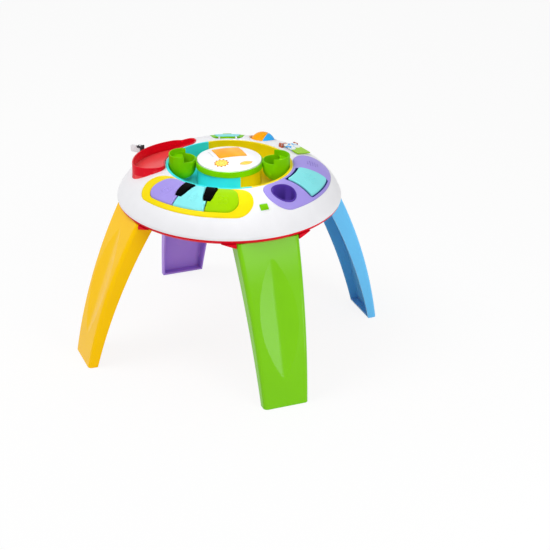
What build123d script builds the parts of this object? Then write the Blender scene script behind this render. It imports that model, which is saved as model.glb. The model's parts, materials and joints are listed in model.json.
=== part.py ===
import os
from math import cos, degrees, hypot, radians, sin, sqrt

from build123d import *

os.makedirs("parts", exist_ok=True)
UP = (Align.CENTER, Align.CENTER, Align.MIN)

# Millimetres, +Z up, floor at z = 0, the table's upright axis through the origin.
# Overall form
leg_height = 275.5
rim_radius = 200.0
well_radius = 110.3
band_height = 7.5
skirt_height = 4.3
dome_rise = 53.41
crown_reach = 10.8
shell_wall = 3.0
lip_width = 2.5

# Legs
foot_radius = 284.0
leg_bow = 11.6
leg_top_inset = 8.5
foot_half_width = 41.0
leg_top_half_width = 57.0
foot_depth = 17.0
leg_top_depth = 36.0
leg_wall = 3.2
leg_edge_round = 7.0
flute_slope = 0.18
flute_low_z = 44.0
flute_drop = 25.0
flute_round = 40.0
leg_end_wall = 4.0
screw_radius = 2.0
screw_head_radius = 4.5
screw_head_height = 2.6
screw_inset = 22.0
screw_reach = 13.0
screw_clear = 0.3

# Panels in the dome
panel_half = 41.0
tray_half = 40.0
panel_roundness = 0.4682
inner_margin = 3.9
outer_margin = 20.0
tray_margin = 27.5
panel_gap = 0.3
panel_proud = 0.8
panel_depth = 10.5
flange_reach = 3.0
flange_thick = 2.5

# Carousel
cup_radius = 24.4
cup_wall = 2.2
cup_lift = 9.7
cup_raise = 9.5
cup_straight = 13.6
cup_clear = 0.6
cup_under = 7.0
cup_step_inset = 4.0
hub_bite = 1.2
hub_wall = 2.5
bowl_wall = 1.8
bowl_floor_wall = 2.5
bowl_fit = 0.3
bowl_lip_height = 0.5
column_inset = 3.0
cap_inset = 3.0
bore_radius = 20.05
running_gap = 0.05

# Keys and other small moving pieces
key_proud = 2.2
key_thick = 3.5
key_gap = 0.6
pivot_radius = 1.5
plate_proud = 3.0
plate_gap = 5.5
knob_travel = 3.0
ball_edge = 8.8
ball_clear = 2.3
ball_wall = 2.2

# Sizes that follow from those above
shell_edge_z = leg_height + band_height
dome_r0 = well_radius + crown_reach
dome_reach = rim_radius - dome_r0
dome_radius = (dome_reach**2 + dome_rise**2) / (2 * dome_rise)
dome_z0 = shell_edge_z + skirt_height + dome_rise - dome_radius
lip_radius = well_radius + lip_width
panel_in = well_radius + inner_margin
panel_out = rim_radius - outer_margin
tray_out = rim_radius - tray_margin
tray_mid = (panel_in + tray_out) / 2
panel_mid = (panel_in + panel_out) / 2
panel_width = panel_out - panel_in
ball_radius = panel_width / 2 - ball_edge
base_radius = rim_radius - 1.2
bowl_outer = well_radius - bowl_fit
bowl_inner = bowl_outer - bowl_wall
cup_centre = bowl_inner - cup_clear - cup_radius
hub_radius = cup_centre - cup_radius + hub_bite
column_radius = hub_radius - column_inset
cap_radius = hub_radius - cap_inset


def polar(r, angle):
    return (r * cos(radians(angle)), r * sin(radians(angle)))


def turned(angle):
    return Location((0, 0, 0), (0, 0, angle))


def dome_z(r, lift=0.0):
    return dome_z0 + sqrt((dome_radius + lift) ** 2 - (r - dome_r0) ** 2)


lip_z = dome_z(lip_radius)
cup_rim_z = lip_z + cup_lift
cup_ball_z = cup_rim_z - cup_straight
bowl_floor_z = cup_ball_z - cup_radius - cup_under
column_top_z = lip_z - 3.3
deep = 60.0
over = 12.0
column_low_z = shell_edge_z - deep
column_high_z = dome_z(dome_r0) + deep


def dome_band(low, high):
    """Ring between two surfaces that run parallel to the dome."""
    with BuildPart(mode=Mode.PRIVATE) as band:
        with BuildSketch(Plane.XZ):
            with Locations((dome_r0, dome_z0)):
                Circle(dome_radius + high)
                Circle(dome_radius + low, mode=Mode.SUBTRACT)
            with Locations((well_radius - over, dome_z0)):
                Rectangle(
                    rim_radius,
                    column_high_z - dome_z0,
                    align=(Align.MIN, Align.MIN),
                    mode=Mode.INTERSECT,
                )
        revolve(axis=Axis.Z)
    return band.part


def bean(centre, half, r_in, r_out, corner):
    """Ring sector with round corners."""
    with BuildSketch(mode=Mode.PRIVATE) as outline:
        with BuildLine():
            CenterArc((0, 0), r_out, centre - half, 2 * half)
            Line(polar(r_out, centre + half), polar(r_in, centre + half))
            CenterArc((0, 0), r_in, centre - half, 2 * half)
            Line(polar(r_in, centre - half), polar(r_out, centre - half))
        make_face()
        fillet(outline.vertices(), corner)
    return outline.sketch


def panel_outline(centre, half, grow, r_out=panel_out):
    spread = degrees(2 * grow / (panel_in + r_out))
    r_in = max(panel_in - grow, well_radius + bowl_fit)
    corner = panel_roundness * (r_out - panel_in)
    return bean(centre, half + spread, r_in, r_out + grow, corner + min(grow, 1.0))


def block(r, angle, radial, tangential, shift=0.0):
    """Rectangle seen from above, turned to the radius it stands on."""
    with BuildSketch(mode=Mode.PRIVATE) as outline:
        with Locations(turned(angle)):
            with Locations((r, shift)):
                Rectangle(radial, tangential)
    return outline.sketch


def column(outline, low_z, high_z):
    with BuildPart(mode=Mode.PRIVATE) as solid:
        with BuildSketch(Plane.XY.offset(low_z)):
            add(outline)
        extrude(amount=high_z - low_z)
    return solid.part


def slab(outline, low, high):
    """Plate with the given outline that follows the dome between two lifts."""
    with BuildPart(mode=Mode.PRIVATE) as plate:
        add(column(outline, column_low_z, column_high_z))
        add(dome_band(low, high), mode=Mode.INTERSECT)
    return plate.part


def panel_blank(centre, half, depth):
    """Panel that fills a bean opening, with a flange under the shell."""
    with BuildPart(mode=Mode.PRIVATE) as blank:
        add(slab(panel_outline(centre, half, 0.0), -depth, panel_proud))
        flange = panel_outline(centre, half, flange_reach)
        add(slab(flange, -shell_wall - flange_thick, -shell_wall))
    return blank.part


piano_angle = 269.5
side_angle = 1.2
tray_angle = 182.0
back_angle = 92.0
switch_angle = 315.0
switch_r = panel_out - 11.0
knob_stem = 5.0
slot_length = knob_stem + 2 * knob_travel + 0.8
slot_width = 3.6
slot_clear = 0.3

# White domed top with four bean openings, the well and the switch slot
with BuildPart() as top_shell:
    arc_mid = (lip_radius + rim_radius) / 2
    inner_edge = rim_radius - shell_wall
    inner_mid = (well_radius + inner_edge) / 2
    with BuildSketch(Plane.XZ):
        with BuildLine():
            Line((well_radius, lip_z), (lip_radius, lip_z))
            ThreePointArc(
                (lip_radius, lip_z),
                (arc_mid, dome_z(arc_mid)),
                (rim_radius, dome_z(rim_radius)),
            )
            Line((rim_radius, dome_z(rim_radius)), (rim_radius, shell_edge_z))
            Line((rim_radius, shell_edge_z), (inner_edge, shell_edge_z))
            Line((inner_edge, shell_edge_z), (inner_edge, dome_z(inner_edge, -shell_wall)))
            ThreePointArc(
                (inner_edge, dome_z(inner_edge, -shell_wall)),
                (inner_mid, dome_z(inner_mid, -shell_wall)),
                (well_radius, dome_z(well_radius, -shell_wall)),
            )
            Line((well_radius, dome_z(well_radius, -shell_wall)), (well_radius, lip_z))
        make_face()
    revolve(axis=Axis.Z)
    for centre, half, r_out in (
        (piano_angle, panel_half, panel_out),
        (side_angle, panel_half, panel_out),
        (tray_angle, tray_half, tray_out),
        (back_angle, panel_half, panel_out),
    ):
        opening = panel_outline(centre, half, panel_gap, r_out)
        add(column(opening, column_low_z, column_high_z), mode=Mode.SUBTRACT)
    slot = block(switch_r, switch_angle, slot_width, slot_length)
    add(column(slot, column_low_z, column_high_z), mode=Mode.SUBTRACT)

# Legs: curved channels, open on the inner side, with a leaf-shaped flute outside
leg_top_radius = rim_radius - leg_top_inset
leg_mid_radius = (foot_radius + leg_top_radius) / 2 + leg_bow
leg_screw_r = leg_top_radius - screw_inset


def leg_side(out_shift, in_shift, low_z, high_z):
    """Side view of a leg: outer curve to inner curve, cut between two heights."""
    top_inner = leg_top_radius - leg_top_depth - in_shift
    with BuildSketch(Plane.XZ, mode=Mode.PRIVATE) as side:
        with BuildLine():
            ThreePointArc(
                (foot_radius - out_shift, 0),
                (leg_mid_radius - out_shift, leg_height / 2),
                (leg_top_radius - out_shift, leg_height),
            )
            Line((leg_top_radius - out_shift, leg_height), (top_inner, leg_height))
            ThreePointArc(
                (top_inner, leg_height),
                (leg_mid_radius - (foot_depth + leg_top_depth) / 2 - in_shift, leg_height / 2),
                (foot_radius - foot_depth - in_shift, 0),
            )
            Line((foot_radius - foot_depth - in_shift, 0), (foot_radius - out_shift, 0))
        make_face()
        with Locations((foot_radius / 2, (low_z + high_z) / 2)):
            Rectangle(2 * foot_radius, high_z - low_z, mode=Mode.INTERSECT)
    return side.sketch


def leg_front(inset):
    with BuildSketch(Plane.YZ, mode=Mode.PRIVATE) as front:
        low = foot_half_width - inset
        high = leg_top_half_width - inset
        with BuildLine():
            Polyline((-low, 0), (low, 0), (high, leg_height), (-high, leg_height), close=True)
        make_face()
    return front.sketch


def flute(inset):
    """Shallow V-shaped cutter whose valley runs along a chord of the leg's outer curve."""
    high_z = leg_height - flute_drop
    reach = 2 * leg_top_half_width

    def outer_r(z):
        # parabola through the leg's foot, middle and top, close to its outer curve
        half = leg_height / 2
        slope = (foot_radius - leg_top_radius) / leg_height
        t = (z - half) / half
        return leg_mid_radius - slope * half * t - leg_bow * t * t

    start = Vector(outer_r(flute_low_z), 0, flute_low_z)
    end = Vector(outer_r(high_z), 0, high_z)
    along = (end - start).normalized()
    middle = (start + end) * 0.5
    with BuildPart(mode=Mode.PRIVATE) as cutter:
        with BuildSketch(Plane(origin=middle, x_dir=(0, 1, 0), z_dir=along)) as section:
            with BuildLine():
                Polyline(
                    (0, inset),
                    (reach, inset - reach * flute_slope),
                    (reach, -reach),
                    (-reach, -reach),
                    (-reach, inset - reach * flute_slope),
                    close=True,
                )
            make_face()
            fillet(section.vertices().sort_by(Axis.Y)[-1], flute_round)
        extrude(amount=leg_height, both=True)
    return cutter.part


with BuildPart(mode=Mode.PRIVATE) as leg_cavity:
    add(leg_side(leg_wall, leg_top_depth, leg_end_wall, leg_height - leg_end_wall))
    extrude(amount=2 * leg_top_half_width, dir=(0, 1, 0), both=True)
    with BuildPart(mode=Mode.INTERSECT):
        add(leg_front(leg_wall))
        extrude(amount=2 * foot_radius, dir=(1, 0, 0))
    add(flute(leg_wall), mode=Mode.SUBTRACT)

with BuildPart(mode=Mode.PRIVATE) as leg_form:
    add(leg_side(0.0, 0.0, 0.0, leg_height))
    extrude(amount=2 * leg_top_half_width, dir=(0, 1, 0), both=True)
    with BuildPart(mode=Mode.INTERSECT):
        add(leg_front(0.0))
        extrude(amount=2 * foot_radius, dir=(1, 0, 0))
    long_edges = leg_form.edges().filter_by(lambda e: e.length > leg_height * 0.9)
    fillet(long_edges.sort_by(lambda e: e.center().X)[-2:], leg_edge_round)
    add(flute(0.0), mode=Mode.SUBTRACT)
    add(leg_cavity.part, mode=Mode.SUBTRACT)
    with Locations((leg_screw_r, 0, leg_height)):
        Cylinder(screw_radius + screw_clear, 4 * leg_end_wall, mode=Mode.SUBTRACT)

with BuildPart() as leg_front_right:
    add(leg_form.part, rotation=(0, 0, 315))
with BuildPart() as leg_front_left:
    add(leg_form.part, rotation=(0, 0, 225))
with BuildPart() as leg_back_left:
    add(leg_form.part, rotation=(0, 0, 135))
with BuildPart() as leg_back_right:
    add(leg_form.part, rotation=(0, 0, 45))

screw_top_z = leg_height + screw_reach
screw_seat_z = leg_height - leg_end_wall
with BuildPart(mode=Mode.PRIVATE) as screw_form:
    with Locations((leg_screw_r, 0, screw_seat_z - screw_head_height)):
        Cylinder(screw_head_radius, screw_head_height, align=UP)
    with Locations((leg_screw_r, 0, screw_seat_z)):
        Cylinder(screw_radius, screw_top_z - screw_seat_z, align=UP)
    with Locations((leg_screw_r, 0, screw_seat_z - screw_head_height)):
        Box(5.0, 1.0, 1.6, align=UP, mode=Mode.SUBTRACT)
        Box(1.0, 5.0, 1.6, align=UP, mode=Mode.SUBTRACT)

with BuildPart() as screw_front_right:
    add(screw_form.part, rotation=(0, 0, 315))
with BuildPart() as screw_front_left:
    add(screw_form.part, rotation=(0, 0, 225))
with BuildPart() as screw_back_left:
    add(screw_form.part, rotation=(0, 0, 135))
with BuildPart() as screw_back_right:
    add(screw_form.part, rotation=(0, 0, 45))

# Red lower housing, with cuffs beside the legs, screw bosses and board posts
floor_top_z = leg_height + shell_wall
bay_length = 74.0
bay_width = 62.0
speaker_r = panel_mid + 1.9
speaker_angle = 33.0
speaker_magnet_radius = 12.0
speaker_magnet_height = 6.0
speaker_radius = 22.0
board_y = -(well_radius + 38.0)
board_size = (70.0, 34.0, 1.6)
board_posts = (60.0, 26.0)
post_radius = 3.0
post_top_z = leg_height + 12.0
cuff_gap = 0.4
cuff_drop = 8.0
cuff_length = 24.0

with BuildPart(mode=Mode.PRIVATE) as cuff_form:
    side = leg_top_half_width + cuff_gap
    with BuildSketch(Plane.YZ.offset(leg_top_radius - 50.0)):
        with BuildLine():
            Polyline(
                (side, leg_height),
                (side, leg_height - cuff_drop),
                (side + cuff_length, leg_height),
                close=True,
            )
        make_face()
        mirror(about=Plane.YZ)
    extrude(amount=rim_radius)
    with Locations((0, 0, leg_height)):
        Cylinder(base_radius - 0.5, 4 * cuff_drop, mode=Mode.INTERSECT)

with BuildPart() as base_shell:
    lip_out = rim_radius - shell_wall - 0.2
    lip_in = lip_out - 2.8
    lip_top_z = shell_edge_z + 3.0
    chamfer_size = 4.0
    with BuildSketch(Plane.XZ):
        with BuildLine():
            Polyline(
                (0, leg_height),
                (base_radius - chamfer_size, leg_height),
                (base_radius, leg_height + chamfer_size),
                (base_radius, shell_edge_z),
                (lip_out, shell_edge_z),
                (lip_out, lip_top_z),
                (lip_in, lip_top_z),
                (lip_in, floor_top_z),
                (0, floor_top_z),
                close=True,
            )
        make_face()
    revolve(axis=Axis.Z)
    for angle in (45, 135, 225, 315):
        add(cuff_form.part, rotation=(0, 0, angle))
        with Locations(turned(angle)):
            with Locations((leg_screw_r, 0, floor_top_z)):
                Cylinder(5.0, screw_top_z - floor_top_z + 2.0, align=UP)
            with Locations((leg_screw_r, 0, leg_height)):
                Cylinder(
                    screw_radius,
                    screw_top_z - leg_height,
                    align=UP,
                    mode=Mode.SUBTRACT,
                )
    with Locations((0, 0, leg_height)):
        Box(bay_length, bay_width, 20.0, mode=Mode.SUBTRACT)
    with Locations((*polar(speaker_r, speaker_angle), floor_top_z)):
        Cylinder(speaker_magnet_radius, post_top_z - floor_top_z, align=UP)
    with Locations((0, board_y, floor_top_z)):
        with GridLocations(*board_posts, 2, 2):
            Cylinder(post_radius, post_top_z - floor_top_z, align=UP)

# Bowl in the well: one annular trough made of two coloured halves
column_inner = column_radius - bowl_floor_wall
column_hole = column_radius - 11.0
seam_angle = 315.0
with BuildPart(mode=Mode.PRIVATE) as bowl_form:
    with BuildSketch(Plane.XZ):
        with BuildLine():
            Polyline(
                (column_inner, bowl_floor_z - bowl_floor_wall),
                (bowl_outer, bowl_floor_z - bowl_floor_wall),
                (bowl_outer, lip_z),
                (lip_radius, lip_z),
                (lip_radius - 0.6, lip_z + bowl_lip_height),
                (bowl_inner, lip_z + bowl_lip_height),
                (bowl_inner, bowl_floor_z),
                (column_radius, bowl_floor_z),
                (column_radius, column_top_z),
                (column_hole, column_top_z),
                (column_hole, column_top_z - bowl_floor_wall),
                (column_inner, column_top_z - bowl_floor_wall),
                close=True,
            )
        make_face()
    revolve(axis=Axis.Z)

with BuildPart() as bowl_turquoise:
    add(bowl_form.part)
    with Locations(turned(seam_angle)):
        Box(
            2 * rim_radius,
            rim_radius,
            4 * leg_height,
            align=(Align.CENTER, Align.MAX, Align.CENTER),
            mode=Mode.INTERSECT,
        )

with BuildPart() as bowl_yellow:
    add(bowl_form.part)
    with Locations(turned(seam_angle)):
        Box(
            2 * rim_radius,
            rim_radius,
            4 * leg_height,
            align=(Align.CENTER, Align.MIN, Align.CENTER),
            mode=Mode.INTERSECT,
        )

# Spindle on the bowl's column, washer, light board, crowned disc and its window
spindle_radius = bore_radius - running_gap
spindle_top_z = column_top_z + 12.0
spindle_wall = 3.0
flange_top_z = column_top_z + 2.5
washer_thick = 1.2
washer_top_z = flange_top_z + washer_thick
web_z = washer_top_z + 0.3
web_thick = 3.0
light_z = spindle_top_z - 5.6
light_thick = 1.6
with BuildPart() as spindle:
    with Locations((0, 0, column_top_z)):
        Cylinder(column_radius - 3.0, flange_top_z - column_top_z, align=UP)
        Cylinder(spindle_radius, spindle_top_z - column_top_z, align=UP)
        Cylinder(spindle_radius - spindle_wall, 60, mode=Mode.SUBTRACT)
    with Locations((0, 0, light_z)):
        Cylinder(spindle_radius - 2.0, 1.6, align=(Align.CENTER, Align.CENTER, Align.MAX))
        Cylinder(spindle_radius - 7.0, 10, mode=Mode.SUBTRACT)

with BuildPart() as thrust_washer:
    with Locations((0, 0, flange_top_z)):
        Cylinder(spindle_radius + 14.0, washer_thick, align=UP)
        Cylinder(spindle_radius + 1.5, 10, mode=Mode.SUBTRACT)

with BuildPart() as light_board:
    with Locations((0, 0, light_z)):
        Cylinder(spindle_radius - spindle_wall - 0.2, light_thick, align=UP)
    with Locations((0, 0, light_z + light_thick)):
        Cylinder(4.0, 3.0, align=UP)

cap_rise = 6.5
cap_edge_z = spindle_top_z + 1.0
cap_wall = 2.5
cap_skirt = 2.0
cap_ball = (cap_radius**2 + cap_rise**2) / (2 * cap_rise)
cap_ball_z = cap_edge_z + cap_rise - cap_ball
window_size = (cap_radius - 5.5, cap_radius - 7.0)
window_turn = 42.5
window_at = polar(cap_radius - hypot(*window_size) / 2 - 1.734, 115.346)
window_proud = 0.3


def window_outline():
    with BuildSketch(mode=Mode.PRIVATE) as outline:
        with Locations(Location((*window_at, 0), (0, 0, window_turn))):
            RectangleRounded(*window_size, 3.0)
    return outline.sketch


def cap_shell(low, high):
    with BuildPart(mode=Mode.PRIVATE) as crown:
        with Locations((0, 0, cap_ball_z)):
            Sphere(cap_ball + high)
            Sphere(cap_ball + low, mode=Mode.SUBTRACT)
        with Locations((0, 0, cap_edge_z - 30.0)):
            Cylinder(cap_radius, 80.0, align=UP, mode=Mode.INTERSECT)
    return crown.part


with BuildPart() as light_window:
    add(column(window_outline(), cap_edge_z - 20, cap_edge_z + 60))
    add(cap_shell(-cap_wall, window_proud), mode=Mode.INTERSECT)

with BuildPart() as centre_cap:
    add(cap_shell(-cap_wall, 0.0))
    with Locations((0, 0, cap_edge_z - cap_skirt)):
        Cylinder(cap_radius, cap_skirt + 0.4, align=UP)
        Cylinder(cap_radius - cap_wall, cap_skirt + 0.4, align=UP, mode=Mode.SUBTRACT)
    add(cap_shell(-cap_wall, 0.0))
    with Locations((0, 0, spindle_top_z)):
        Cylinder(spindle_radius - 1.0, 5.0, align=UP)
        Cylinder(spindle_radius - spindle_wall, 4.5, align=UP, mode=Mode.SUBTRACT)
    with BuildPart(mode=Mode.SUBTRACT):
        add(column(window_outline(), cap_edge_z - 20, cap_edge_z + 60))
        add(cap_shell(-cap_wall, 5.0), mode=Mode.INTERSECT)

# Green carousel: hub ring with two cups
hub_low_z = column_top_z + 1.0
hub_top_z = spindle_top_z - 0.7
cup_angle = 22.0
with BuildPart() as carousel_hub:
    with Locations((0, 0, hub_low_z)):
        Cylinder(hub_radius, hub_top_z - hub_low_z, align=UP)
        Cylinder(hub_radius - hub_wall, web_z - hub_low_z, align=UP, mode=Mode.SUBTRACT)
    with Locations((0, 0, web_z + web_thick)):
        Cylinder(hub_radius - hub_wall, 30, align=UP, mode=Mode.SUBTRACT)
    with Locations((0, 0, web_z)):
        Cylinder(bore_radius, 40, mode=Mode.SUBTRACT)

with BuildPart(mode=Mode.PRIVATE) as cup_form:
    with Locations((cup_centre, 0, cup_ball_z)):
        Sphere(cup_radius)
        Cylinder(cup_radius, cup_straight, align=UP)
    with Locations((cup_centre, 0, cup_rim_z)):
        Cylinder(cup_radius, cup_raise, align=UP)
    with Locations((cup_centre - cup_step_inset, 0, cup_rim_z)):
        Box(80, 80, 40, align=(Align.MAX, Align.CENTER, Align.MIN), mode=Mode.SUBTRACT)
    with Locations((cup_centre, 0, cup_ball_z)):
        Sphere(cup_radius - cup_wall, mode=Mode.SUBTRACT)
        Cylinder(cup_radius - cup_wall, 60, align=UP, mode=Mode.SUBTRACT)
    with Locations((0, 0, cup_ball_z)):
        Cylinder(hub_radius, 100, mode=Mode.SUBTRACT)

with BuildPart() as cup_right:
    add(cup_form.part, rotation=(0, 0, cup_angle))
with BuildPart() as cup_left:
    add(cup_form.part, rotation=(0, 0, cup_angle + 180))

# Piano: yellow bezel, three keys that pivot at their inner ends, two fixed black keys
key_low = -panel_depth + 2.0
key_pivot_r = panel_in + 6.8
key_in = panel_in + 1.2
key_out = panel_out - 7.0
key_length = key_out - key_in
key_corner = 0.36 * key_length
key_middle = 269.05
key_half = 31.75
key_pivot_z = (dome_z(key_pivot_r, key_low) + dome_z(key_pivot_r, key_proud - key_thick)) / 2
black_angles = (260.3, 280.3)
key_edges = {
    "key_purple": (key_middle - key_half - 2.0, black_angles[0]),
    "key_turquoise": (black_angles[0], black_angles[1]),
    "key_green": (black_angles[1], key_middle + key_half + 2.0),
}
key_centres = {"key_purple": 248.8, "key_turquoise": 270.3, "key_green": 290.5}
key_pin_half = 9.6
lug_thick = 2.4
lug_clear = 0.5
split_gap = 0.8
black_shoulder = key_in + 0.55 * key_length
black_end = key_in + 0.68 * key_length
black_half_widths = (10.0, 7.6, 5.2)
black_proud = key_proud + 2.6
black_gap = 0.9


def black_outline(angle, grow):
    inner = key_in + 3.0 - grow
    wide, narrow, tip = (half + grow for half in black_half_widths)
    corners = (
        (inner, -wide),
        (black_shoulder, -narrow),
        (black_end + grow, -tip),
        (black_end + grow, tip),
        (black_shoulder, narrow),
        (inner, wide),
    )
    with BuildSketch(mode=Mode.PRIVATE) as outline:
        with Locations(turned(angle)):
            Polygon(*corners, align=None)
    return outline.sketch


def keys_outline(gap):
    half = key_half - degrees(gap / panel_mid)
    return bean(key_middle, half, key_in + gap, key_out - gap, key_corner - gap)


def key_sector(low_angle, high_angle):
    with BuildSketch(mode=Mode.PRIVATE) as outline:
        add(keys_outline(key_gap))
        trim = degrees(split_gap / panel_mid)
        with BuildSketch(mode=Mode.INTERSECT):
            with BuildLine():
                Polyline(
                    (0, 0),
                    polar(2 * rim_radius, low_angle + trim),
                    polar(2 * rim_radius, high_angle - trim),
                    close=True,
                )
            make_face()
    return outline.sketch


with BuildPart() as piano_bezel:
    add(panel_blank(piano_angle, panel_half, panel_depth))
    add(slab(keys_outline(0.0), key_low, over), mode=Mode.SUBTRACT)
    lug_side = key_pin_half - lug_thick / 2
    for centre in key_centres.values():
        with Locations(turned(centre)):
            for side in (-1, 1):
                with Locations((key_pivot_r, side * lug_side, key_pivot_z + 2.2)):
                    Box(5.0, lug_thick, 7.4, align=(Align.CENTER, Align.CENTER, Align.MAX))
            with Locations((key_pivot_r, 0, key_pivot_z)):
                Cylinder(
                    pivot_radius + running_gap,
                    2 * key_pin_half + 2.0,
                    rotation=(90, 0, 0),
                    mode=Mode.SUBTRACT,
                )


def key_form(name):
    low_angle, high_angle = key_edges[name]
    with BuildPart(mode=Mode.PRIVATE) as key:
        add(slab(key_sector(low_angle, high_angle), key_proud - key_thick, key_proud))
        for angle in black_angles:
            slot = black_outline(angle, black_gap)
            add(column(slot, column_low_z, column_high_z), mode=Mode.SUBTRACT)
        with Locations(turned(key_centres[name])):
            with Locations((key_pivot_r, 0, key_pivot_z)):
                Cylinder(pivot_radius, 2 * key_pin_half, rotation=(90, 0, 0))
                web_half = key_pin_half - lug_thick - lug_clear
                Box(2.6, 2 * web_half, 5.5, align=UP)
    return key.part


with BuildPart() as key_purple:
    add(key_form("key_purple"))
with BuildPart() as key_turquoise:
    add(key_form("key_turquoise"))
with BuildPart() as key_green:
    add(key_form("key_green"))

with BuildPart() as black_key_left:
    add(slab(black_outline(black_angles[0], 0.0), key_low, black_proud))
with BuildPart() as black_key_right:
    add(slab(black_outline(black_angles[1], 0.0), key_low, black_proud))

# Purple side panel with a peg socket and a lined recess for the press plate
socket_at = polar(panel_mid + 1.1, 333.6)
socket_radius = panel_width / 2 - 12.9
socket_wall = 2.0
socket_floor = 2.5
socket_floor_z = dome_z(panel_mid) - 27.0
recess_centre = 1.7
recess_half = 13.6
recess_in = panel_in + 4.5
recess_out = panel_out - 3.5
liner_wall = 1.5
liner_low = -panel_depth - 1.0
plate_clear = 0.8
recess_corner = 5.0
plate_corner = 4.0


def recess_outline(grow):
    spread = degrees(grow / panel_mid)
    half = recess_half + spread
    return bean(recess_centre, half, recess_in - grow, recess_out + grow, recess_corner + grow)


with BuildPart() as side_panel:
    add(panel_blank(side_angle, panel_half, shell_wall + flange_thick))
    add(column(recess_outline(0.0), column_low_z, column_high_z), mode=Mode.SUBTRACT)
    with Locations((*socket_at, column_low_z)):
        Cylinder(socket_radius + socket_wall, 4 * leg_height, mode=Mode.SUBTRACT)

with BuildPart() as peg_socket:
    with Locations((*socket_at, socket_floor_z - socket_floor)):
        Cylinder(socket_radius + socket_wall, deep, align=UP)
    add(dome_band(-deep, panel_proud + 1.0), mode=Mode.INTERSECT)
    with Locations((*socket_at, socket_floor_z)):
        Cylinder(socket_radius, deep, align=UP, mode=Mode.SUBTRACT)
        Cylinder(socket_radius / 4, 6.0, align=UP)
        Box(3.0, 1.1 * socket_radius, 4.0, align=UP)

plate_pivot_r = recess_out - 7.5
plate_pivot_z = dome_z(plate_pivot_r, -6.0)
plate_pin_half = 24.0
plate_lug = 3.0
with BuildPart() as plate_liner:
    add(slab(recess_outline(0.0), liner_low - liner_wall, 0.2))
    add(slab(recess_outline(-liner_wall), liner_low, over), mode=Mode.SUBTRACT)
    with Locations(turned(recess_centre)):
        for side in (-1, 1):
            with Locations(
                (plate_pivot_r, side * (plate_pin_half - plate_lug / 2), plate_pivot_z + 2.0)
            ):
                Box(5.0, plate_lug, 11.0, align=(Align.CENTER, Align.CENTER, Align.MAX))
        with Locations((plate_pivot_r, 0, plate_pivot_z)):
            Cylinder(
                pivot_radius + running_gap,
                2 * plate_pin_half + 2.0,
                rotation=(90, 0, 0),
                mode=Mode.SUBTRACT,
            )

with BuildPart() as press_plate:
    edge = liner_wall + plate_clear
    spread = degrees(edge / panel_mid)
    plate_face = bean(
        recess_centre,
        recess_half - spread,
        recess_in + plate_gap,
        recess_out - edge,
        plate_corner,
    )
    add(slab(plate_face, -1.0, plate_proud))
    with Locations(turned(recess_centre)):
        with Locations((plate_pivot_r, 0, plate_pivot_z)):
            Cylinder(pivot_radius, 2 * plate_pin_half, rotation=(90, 0, 0))
            Box(2.6, 2 * (plate_pin_half - plate_lug - 0.6), 7.0, align=UP)

# Red ramp tray: tall-walled tub whose floor and rim fall towards the back
rim_mid_z = lip_z - 1.2
rim_fall = 0.108
tray_depth = 17.0
tray_wall = 2.5
tray_kerb = 1.0


def tray_wedge(low, high):
    """Block between two sloping planes, given by their heights over the rim plane."""
    fall = rim_fall * rim_radius
    with BuildPart(mode=Mode.PRIVATE) as wedge:
        with BuildSketch(Plane.YZ):
            with BuildLine():
                Polyline(
                    (-rim_radius, rim_mid_z + fall + low),
                    (rim_radius, rim_mid_z - fall + low),
                    (rim_radius, rim_mid_z - fall + high),
                    (-rim_radius, rim_mid_z + fall + high),
                    close=True,
                )
            make_face()
        extrude(amount=-rim_radius)
    return wedge.part


with BuildPart(mode=Mode.PRIVATE) as tray_limit:
    add(tray_wedge(-tray_depth - tray_wall, 0.0))
    with BuildPart():
        add(dome_band(-deep, tray_kerb))
        add(tray_wedge(-tray_depth - tray_wall, deep), mode=Mode.INTERSECT)

tray_inside = bean(
    tray_angle,
    tray_half - degrees(tray_wall / tray_mid),
    panel_in + tray_wall,
    tray_out - tray_wall,
    panel_roundness * (tray_out - panel_in) - tray_wall,
)
with BuildPart() as ramp_tray:
    tray_outline = panel_outline(tray_angle, tray_half, 0.0, tray_out)
    add(column(tray_outline, column_low_z, column_high_z))
    add(tray_limit.part, mode=Mode.INTERSECT)
    with BuildPart(mode=Mode.SUBTRACT):
        add(column(tray_inside, column_low_z, column_high_z))
        add(tray_wedge(-tray_depth, deep), mode=Mode.INTERSECT)
    with BuildPart():
        tray_flange = panel_outline(tray_angle, tray_half, flange_reach, tray_out)
        add(slab(tray_flange, -shell_wall - flange_thick, -shell_wall))
        add(column(tray_inside, column_low_z, column_high_z), mode=Mode.SUBTRACT)
    with BuildPart():
        add(slab(tray_outline, -shell_wall - flange_thick, tray_depth))
        add(column(tray_inside, column_low_z, column_high_z), mode=Mode.SUBTRACT)
        add(tray_wedge(-deep, 0.0), mode=Mode.INTERSECT)

# White paddle on an upright pivot in a dark bracket outside the tray wall
paddle_r = tray_out + 6.0
paddle_low_z = rim_mid_z - 12.0
paddle_top_z = rim_mid_z + 6.0
paddle_height = paddle_top_z - paddle_low_z
paddle_pin = 1.8
paddle_hub = 3.0
paddle_thick = 2.6
paddle_reach = 19.0
paddle_tall_from = 6.3
arm_height = 3.5
arm_gap = 0.5
bracket_in = tray_out - 4.0
inward = (Align.MIN, Align.CENTER, Align.MIN)
with BuildPart() as paddle_bracket:
    with Locations(turned(180)):
        with Locations((bracket_in, 0, paddle_low_z)):
            Box(6.5, 12.0, paddle_height, align=inward)
        for low in (paddle_low_z, paddle_top_z - arm_height):
            with Locations((bracket_in, 0, low)):
                Box(14.0, 8.0, arm_height, align=inward)
        with Locations((paddle_r, 0, paddle_low_z)):
            Cylinder(paddle_pin + running_gap, 4 * paddle_height, mode=Mode.SUBTRACT)
    with Locations((0, 0, paddle_low_z)):
        Cylinder(tray_out, 4 * paddle_height, mode=Mode.SUBTRACT)

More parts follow.
